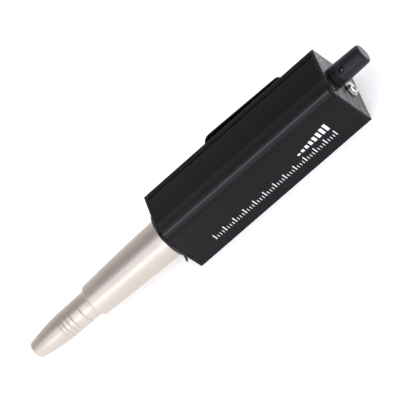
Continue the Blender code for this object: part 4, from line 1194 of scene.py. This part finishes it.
class AMPLIFIER_OT_socket(Build, bpy.types.Operator):
    """The audio socket: its ring and tube, insert, contacts and release latch"""

    bl_idname = "amplifier.socket"
    bl_label = "Audio socket"

    def build(self, chosen):
        socket = chosen.socket
        centre = (0, CASE_Z)
        low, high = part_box("socket_shell")
        ring = radius_of("socket_shell")
        tube = socket.bore + socket.wall
        black = moulded("socket_black", socket.black, 0.3, 0.5, 2000)
        insert_black = MADE["moulding_black"]
        brass = MADE["contact_brass"]
        seat = SOCKET_FACE - SEAM
        lead_in = 0.5 * MM
        shell = softened([
            (high.x, socket.bore, 0.2 * MM), (high.x, tube, 0.2 * MM), (seat, tube), (seat, ring, 0.12 * MM),
            (low.x, ring, 0.7 * MM), (low.x, socket.bore + 0.55 * MM, 0.15 * MM),
            (low.x + lead_in, socket.bore),
        ])
        slot_end = SOCKET_FACE + 14.5 * MM
        slot = keyway(low.x - THROUGH, slot_end, socket.bore - THROUGH, ring + THROUGH,
                      socket.latch_width / 2 + FIT)
        shells = [turned(shell, centre, 144)]
        piece("socket_ring", shells, black, "case", ["socket_shell"], [slot])

        low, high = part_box("socket_insert")
        wide = radius_of("socket_insert")
        flange = high.x - 3.7 * MM
        stem = softened([
            (high.x, 0), (high.x, wide, 0.3 * MM), (flange, wide, 0.2 * MM), (flange, socket.stem, 0.2 * MM),
            (low.x, socket.stem, 0.5 * MM), (low.x, 0),
        ], closed=False)
        contact = radius_of("socket_contact_1")
        wide_bore, mouth, mouth_end = contact + FIT, contact - 0.2 * MM, low.x + 1.2 * MM
        profile = [
            (high.x + THROUGH, 0), (high.x + THROUGH, wide_bore), (mouth_end, wide_bore),
            (mouth_end, mouth), (low.x - THROUGH, mouth), (low.x - THROUGH, 0),
        ]
        cutters = [turned(profile, place, SMALL) for place in PIN_PLACES]
        key = 0.9 * MM
        key_end = flange - 1 * MM
        cutters.append(keyway(low.x - THROUGH, key_end, socket.stem - key, socket.stem + THROUGH, key))
        shells = [turned(stem, centre)]
        piece("socket_stem", shells, insert_black, "case", ["socket_insert"], cutters)

        for number, place in enumerate(PIN_PLACES, 1):
            low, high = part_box(f"socket_contact_{number}")
            radius = radius_of(f"socket_contact_{number}")
            bore = radius - 0.35 * MM
            tail = 0.6 * MM
            back = high.x - 8.7 * MM
            bore_end = back - 1.2 * MM
            start = low.x + 1.0 * MM
            contact = softened([
                (high.x, 0), (high.x, tail, 0.2 * MM), (back, tail), (back, radius, 0.3 * MM),
                (start, radius, 0.1 * MM), (start, bore, 0.1 * MM), (bore_end, bore), (bore_end, 0),
            ], 3, closed=False)
            shells = [turned(contact, place, SMALL)]
            name = f"socket_contact_{number}"
            piece(f"socket_sleeve_{number}", shells, brass, "case", [name])

        self.build_latch(socket, black)

    def build_latch(self, socket, black):
        """A flat strip in the socket's slot, bent outwards into a tab that narrows to its rounded tip."""
        inner_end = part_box("release_latch")[1].x
        inner = socket.bore + 0.25 * MM + socket.latch_thickness / 2
        tip = (SOCKET_FACE - 3.6 * MM, 14.2 * MM)
        bend = (SOCKET_FACE - 1.9 * MM, inner, 0.9 * MM)
        path = softened([(inner_end, inner), bend, tip], 10, closed=False)
        run = lengthwise(path)
        even = np.linspace(0, run[-1], 120)
        path = np.stack([np.interp(even, run, path[:, 0]), np.interp(even, run, path[:, 1])], -1)
        from_tip = run[-1] - even
        half = socket.latch_width / 2
        radius = 1.2 * MM
        d = np.clip(from_tip, 0, radius)
        taper = half * 0.6 * np.clip(1 - from_tip / (4.5 * MM), 0, 1)
        widths = half - taper - (radius - np.sqrt(radius**2 - (radius - d) ** 2)) * 0.6

        def place(u, v, w):
            return about_axis(np.stack([u, v, w], -1))

        shells = [strip(path, widths, socket.latch_thickness, place)]
        piece("latch_tab", shells, black, "latch", ["release_latch"])


def about_axis(points):
    """Points given as x, distance from the case's axis and place across, turned to the latch's direction."""
    x, out, across = np.moveaxis(np.asarray(points), -1, 0)
    y = out * cos(LATCH_ANGLE) - across * sin(LATCH_ANGLE)
    z = out * sin(LATCH_ANGLE) + across * cos(LATCH_ANGLE)
    return np.stack([x, y, CASE_Z + z], -1)


def keyway(low, high, inner, outer, half_width):
    """A cutter for a slot along X in the latch's direction, between two distances from the case's axis."""
    points, faces = block((low, inner, -half_width), (high, outer, half_width))
    return about_axis(points), faces


class AMPLIFIER_OT_plug(Build, bpy.types.Operator):
    """The cable plug: its shell, insert, pins, grooved boot and cable clamp"""

    bl_idname = "amplifier.plug"
    bl_label = "Cable plug"

    def build(self, chosen):
        plug = chosen.plug
        centre = (0, CASE_Z)
        nickel = plated("satin_nickel", plug.nickel, 0.41, 1.0, 0.7)
        low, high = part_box("plug_shell")
        start = SOCKET_FACE - 2.2 * MM
        end = low.x
        shoulder = 1 * MM
        u = np.linspace(0, 1, 60)
        barrel = plug.front + (plug.rear - plug.front) * u + 4 * plug.bulge * u * (1 - u)
        x = start + (end - start) * u
        kept = x > end + shoulder
        opening = plug.boot + FIT
        nose_bore = plug.nose - plug.nose_wall
        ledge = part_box("plug_insert")[0].x - FIT
        nose = softened([
            (ledge, nose_bore), (high.x, nose_bore, 0.25 * MM), (high.x, plug.nose, 0.4 * MM),
            (start, plug.nose, 0.1 * MM), (start, plug.front - 0.2 * MM),
        ], 4, closed=False)
        chamfer = [(start, plug.front - 0.15 * MM), (start - 0.06 * MM, plug.front - 0.05 * MM)]
        body = np.stack([x, barrel], -1)[kept][2:]
        neck_end, inside = end + 7 * MM, 7.5 * MM
        rear = softened([
            tuple(body[-1]), (end, plug.rear, shoulder), (end, opening, 0.12 * MM), (neck_end, opening),
            (neck_end, inside), (ledge, inside),
        ], 8, closed=False)[1:]
        profile = np.concatenate([nose[:-1], np.array(chamfer), body, rear])
        slot_start = high.x - 9 * MM
        slot = keyway(slot_start, high.x + THROUGH, nose_bore - THROUGH, plug.nose + THROUGH, 1.1 * MM)
        shells = [turned(profile, centre, 160)]
        piece("plug_barrel", shells, nickel, "plug", ["plug_shell"], [slot])

        self.build_boot(plug, nickel, centre)
        self.build_inside(chosen, centre)

    def build_boot(self, plug, nickel, centre):
        """The boot: straight to its waist, then falling as a parabola, with round grooves.

        A groove at g lowers the radius by depth (1 + cos(pi (x - g) / half)) / 2 within half of its width.
        Each is given by its distance from the socket's face and half of its width, in mm, and its share of
        the depth.
        """
        low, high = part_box("plug_boot")
        step_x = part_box("plug_shell")[0].x
        waist_x = SOCKET_FACE - 63 * MM
        rounding = 0.9 * MM
        x = np.arange(step_x, low.x + rounding, -0.1 * MM)
        straight = (step_x - x) / (step_x - waist_x)
        fall = np.clip((waist_x - x) / (waist_x - low.x), 0, 1)
        radius = np.where(x > waist_x, plug.boot + (plug.waist - plug.boot) * straight,
                          plug.waist + (plug.boot_end - plug.waist) * fall**2)
        grooves = [(54.8, 0.42, 1), (60.3, 0.42, 0.9), (62.8, 0.42, 1), (65.2, 0.42, 1), (67.2, 0.42, 0.8)]
        for out, half, share in [(50.3, 0.30, 0.35), *grooves]:
            away = np.clip(np.abs(SOCKET_FACE - out * MM - x) / (half * MM), 0, 1)
            radius = radius - plug.groove * share * (1 + np.cos(pi * away)) / 2
        side = np.stack([x, radius], -1)
        chamber_end, chamber = SOCKET_FACE - 70 * MM, 5 * MM
        tip = softened([
            tuple(side[-1]), (low.x, plug.boot_end, rounding), (low.x, plug.outlet + 0.25 * MM, 0.15 * MM),
            (low.x + 0.3 * MM, plug.outlet), (chamber_end, plug.outlet),
            (chamber_end, chamber), (high.x, chamber), (high.x, plug.boot, 0.2 * MM),
        ], 6, closed=False)
        shells = [turned(np.concatenate([side, tip[1:]]), centre, 144)]
        piece("boot_sleeve", shells, nickel, "plug", ["plug_boot"])

    def build_inside(self, chosen, centre):
        """The insert with its three pins, and the clamp that grips a cable."""
        insert_black = MADE["moulding_black"]
        bright = MADE["bright_nickel"]
        low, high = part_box("plug_insert")
        wide = radius_of("plug_insert")
        disc = [(low.x, 0), (low.x, wide, 0.2 * MM), (high.x, wide, 0.3 * MM), (high.x, 0)]
        shells = [turned(softened(disc, closed=False), centre)]
        pin_radius = radius_of("plug_pin_1")
        ends = (low.x - THROUGH, high.x + THROUGH)
        cutters = [drill(*ends, pin_radius + SEAM, place) for place in PIN_PLACES]
        piece("pin_disc", shells, insert_black, "plug", ["plug_insert"], cutters)
        for number, place in enumerate(PIN_PLACES, 1):
            low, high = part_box(f"plug_pin_{number}")
            tip = np.linspace(0, pi / 2, 9)
            round_tip = np.stack([high.x - pin_radius * (1 - np.cos(tip)), pin_radius * np.sin(tip)], -1)
            cup, cup_end = pin_radius - 0.35 * MM, low.x + 2 * MM
            tail = softened([
                tuple(round_tip[-1]), (low.x + 3 * MM, pin_radius), (low.x, pin_radius, 0.2 * MM),
                (low.x, cup, 0.1 * MM), (cup_end, cup), (cup_end, 0),
            ], 3, closed=False)
            profile = np.concatenate([round_tip, tail[1:]])
            shells = [turned(profile, place, SMALL)]
            piece(f"plug_prong_{number}", shells, bright, "plug", [f"plug_pin_{number}"])

        low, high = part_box("cable_clamp")
        outer = radius_of("cable_clamp")
        inner = chosen.plug.outlet
        sleeve = softened([
            (high.x, inner, 0.2 * MM), (high.x, outer, 0.4 * MM),
            (low.x, outer, 0.6 * MM), (low.x, inner, 0.3 * MM),
        ])

        def ribs(a, r, t):
            """Rings inside the bore, 0.15 mm high, by the squared cosine of the place along X."""
            return np.where(r < inner + 0.05 * MM, 0.15 * MM * np.cos(a * 2 * pi / (1.5 * MM)) ** 2, 0)

        half_slot = 0.6 * MM
        slot = block((high.x - 12 * MM, 0, CASE_Z - half_slot),
                     (high.x + THROUGH, outer + THROUGH, CASE_Z + half_slot))
        shells = [turned(sleeve, centre, SMALL, ribs)]
        piece("cable_grip", shells, insert_black, "plug", ["cable_clamp"], [slot])


class AMPLIFIER_OT_inside(Build, bpy.types.Operator):
    """Finishes on the pieces inside the case, which keep their own shapes"""

    bl_idname = "amplifier.inside"
    bl_label = "Inner pieces"

    def build(self, _):
        board = board_finish("board_green", (0.02, 0.12, 0.05))
        chip = moulded("chip_black", (0.014, 0.014, 0.014), 0.45, 0.4, 4200)
        can = plated("capacitor_can", (0.62, 0.62, 0.64), 0.3, 0.5, 0.3)
        sleeve = sleeve_finish("cell_sleeve", (0.10, 0.16, 0.28))
        moulding = MADE["moulding_black"]
        bright = MADE["bright_nickel"]
        steel = MADE["plain_steel"]
        red = drawn_wire("wire_red", (0.45, 0.03, 0.03))
        black = drawn_wire("wire_black", (0.02, 0.02, 0.02))
        white = drawn_wire("wire_white", (0.70, 0.70, 0.68))
        finishes = {
            "circuit_board": board, "amplifier_chip": chip, "preamplifier_chip": chip, "inductor": chip,
            "battery_holder": moulding, "battery_bridge": bright, "volume_pot_body": steel,
            "battery_lead_1": red, "battery_lead_2": black,
            "input_wire_1": white, "input_wire_2": red, "input_wire_3": black,
        }
        finishes.update({f"capacitor_{number}": can for number in (1, 2, 3, 4)})
        finishes.update({f"battery_cell_{number}": sleeve for number in (1, 2)})
        finishes.update({f"battery_terminal_{number}": bright for number in (1, 2)})
        for node, finish in finishes.items():
            materials = frame["nodes"][node].data.materials
            materials.clear()
            materials.append(finish)


class AMPLIFIER_OT_stage(Build, bpy.types.Operator):
    """The pale floor, the soft studio light and the camera"""

    bl_idname = "amplifier.stage"
    bl_label = "Stage"

    def build(self, chosen):
        stage = chosen.stage
        scene = bpy.context.scene
        scene.view_settings.view_transform = "Standard"
        self.build_floor(stage, scene)
        self.build_sky(stage, scene)
        aim = Vector((0, 0, CASE_Z))
        wash = self.add_light("wash", aim + Vector((0, 0, 2.2)), aim, (3.6, 3.6), stage.wash, scene)
        wash.visible_glossy = False
        square_on = aim + Vector((-0.45, 0, 0))
        for name, height, tall, brightness in (
            ("front_box", radians(20), 0.66, stage.front_box), ("strip", radians(59), 0.58, stage.strip)
        ):
            place = square_on + Vector((0, -cos(height), sin(height))) * 1.5
            self.add_light(name, place, square_on, (1.7, tall), brightness, scene)
        self.build_camera(stage, scene)

    def build_floor(self, stage, scene):
        """A flat square, its corners far outside the view."""
        half = 6.0
        points = [(-half, -half, 0), (half, -half, 0), (half, half, 0), (-half, half, 0)]
        mesh = bpy.data.meshes.new("floor")
        mesh.from_pydata(points, [], [(0, 1, 2, 3)])
        floor = bpy.data.objects.new("floor", mesh)
        scene.collection.objects.link(floor)
        finish = Finish("floor_paper", 0.9, 0.0, 0.1)
        tone = finish.mix(finish.noise(300, 2) * 0.15, tuple(stage.floor), shade(stage.floor, 0.97))
        glow = (stage.floor_glow,) * 3 + (1,)
        mesh.materials.append(finish.done(Base_Color=tone, Emission_Color=glow, Emission_Strength=1.0))

    def build_sky(self, stage, scene):
        """Studio walls: brighter towards the horizon and dark straight above."""
        world = bpy.data.worlds.new("studio")
        world.use_nodes = True
        scene.world = world
        nodes = Nodes(world.node_tree)
        place = nodes.add("ShaderNodeTexCoord", output="Generated")
        split = nodes.add("ShaderNodeSeparateXYZ", None, {0: place}, output=2)
        stops = [
            (0.0, (0.80, 0.79, 0.79, 1)), (0.5, (0.68, 0.67, 0.67, 1)),
            (0.83, (0.44, 0.44, 0.45, 1)), (1.0, (0.22, 0.22, 0.24, 1)),
        ]
        ramp = nodes.add("ShaderNodeValToRGB", {"stops": stops}, {0: split})
        background = world.node_tree.nodes["Background"]
        world.node_tree.links.new(ramp.socket, background.inputs["Color"])
        background.inputs["Strength"].default_value = stage.sky

    def add_light(self, name, place, aim, sides, brightness, scene):
        """A rectangular light whose surface has the given brightness: its power is brightness x pi x area."""
        light = bpy.data.lights.new(name, "AREA")
        light.shape = "RECTANGLE"
        light.size, light.size_y = sides
        light.energy = brightness * pi * sides[0] * sides[1]
        light.color = (0.93, 0.97, 1.10)
        made = bpy.data.objects.new(name, light)
        made.location = place
        made.rotation_euler = (place - aim).to_track_quat("Z", "Y").to_euler()
        made.visible_camera = False
        scene.collection.objects.link(made)
        return made

    def build_camera(self, stage, scene):
        """A long lens, placed by azimuth, elevation and roll, and aimed beside the case."""
        a, e, roll = stage.azimuth, stage.elevation, stage.roll
        away = Vector((sin(a) * cos(e), -cos(a) * cos(e), sin(e)))
        level_right = Vector((cos(a), sin(a), 0))
        level_up = away.cross(level_right)
        right = level_right * cos(roll) - level_up * sin(roll)
        case = Vector((0, 0, CASE_Z))
        place = case + away * stage.distance
        aim = case - right * stage.aim_left - away.cross(right) * stage.aim_down
        back = (place - aim).normalized()
        right = (right - back * right.dot(back)).normalized()
        lens = bpy.data.cameras.new("camera")
        lens.lens = stage.lens
        lens.sensor_width = 36
        camera = bpy.data.objects.new("camera", lens)
        turned_to = Matrix((right, back.cross(right), back)).transposed()
        camera.matrix_world = Matrix.Translation(place) @ turned_to.to_4x4()
        scene.collection.objects.link(camera)
        scene.camera = camera


OPERATORS = [
    AMPLIFIER_OT_stage,
    AMPLIFIER_OT_channel,
    AMPLIFIER_OT_cover,
    AMPLIFIER_OT_end_plates,
    AMPLIFIER_OT_screws,
    AMPLIFIER_OT_print,
    AMPLIFIER_OT_clip,
    AMPLIFIER_OT_knob,
    AMPLIFIER_OT_jack,
    AMPLIFIER_OT_socket,
    AMPLIFIER_OT_plug,
    AMPLIFIER_OT_inside,
]


class AMPLIFIER_PT_panel(bpy.types.Panel):
    """The building steps and the settings, in the 3D view's sidebar"""

    bl_label = "Headphone amplifier"
    bl_idname = "AMPLIFIER_PT_panel"
    bl_space_type = "VIEW_3D"
    bl_region_type = "UI"
    bl_category = "Amplifier"

    def draw(self, context):
        for operator in OPERATORS:
            self.layout.operator(operator.bl_idname)
        for key, group in GROUPS.items():
            box = self.layout.box()
            for name in group.__annotations__:
                box.prop(getattr(settings(context), key), name)


CLASSES = [*GROUPS.values(), AmplifierSettings, *OPERATORS, AMPLIFIER_PT_panel]


def register():
    for made in CLASSES:
        bpy.utils.register_class(made)
    bpy.types.Scene.amplifier = bpy.props.PointerProperty(type=AmplifierSettings)


def unregister():
    del bpy.types.Scene.amplifier
    for made in reversed(CLASSES):
        bpy.utils.unregister_class(made)


def main():
    register()
    for operator in OPERATORS:
        group, name = operator.bl_idname.split(".")
        getattr(getattr(bpy.ops, group), name)()


if __name__ == "__main__":
    main()
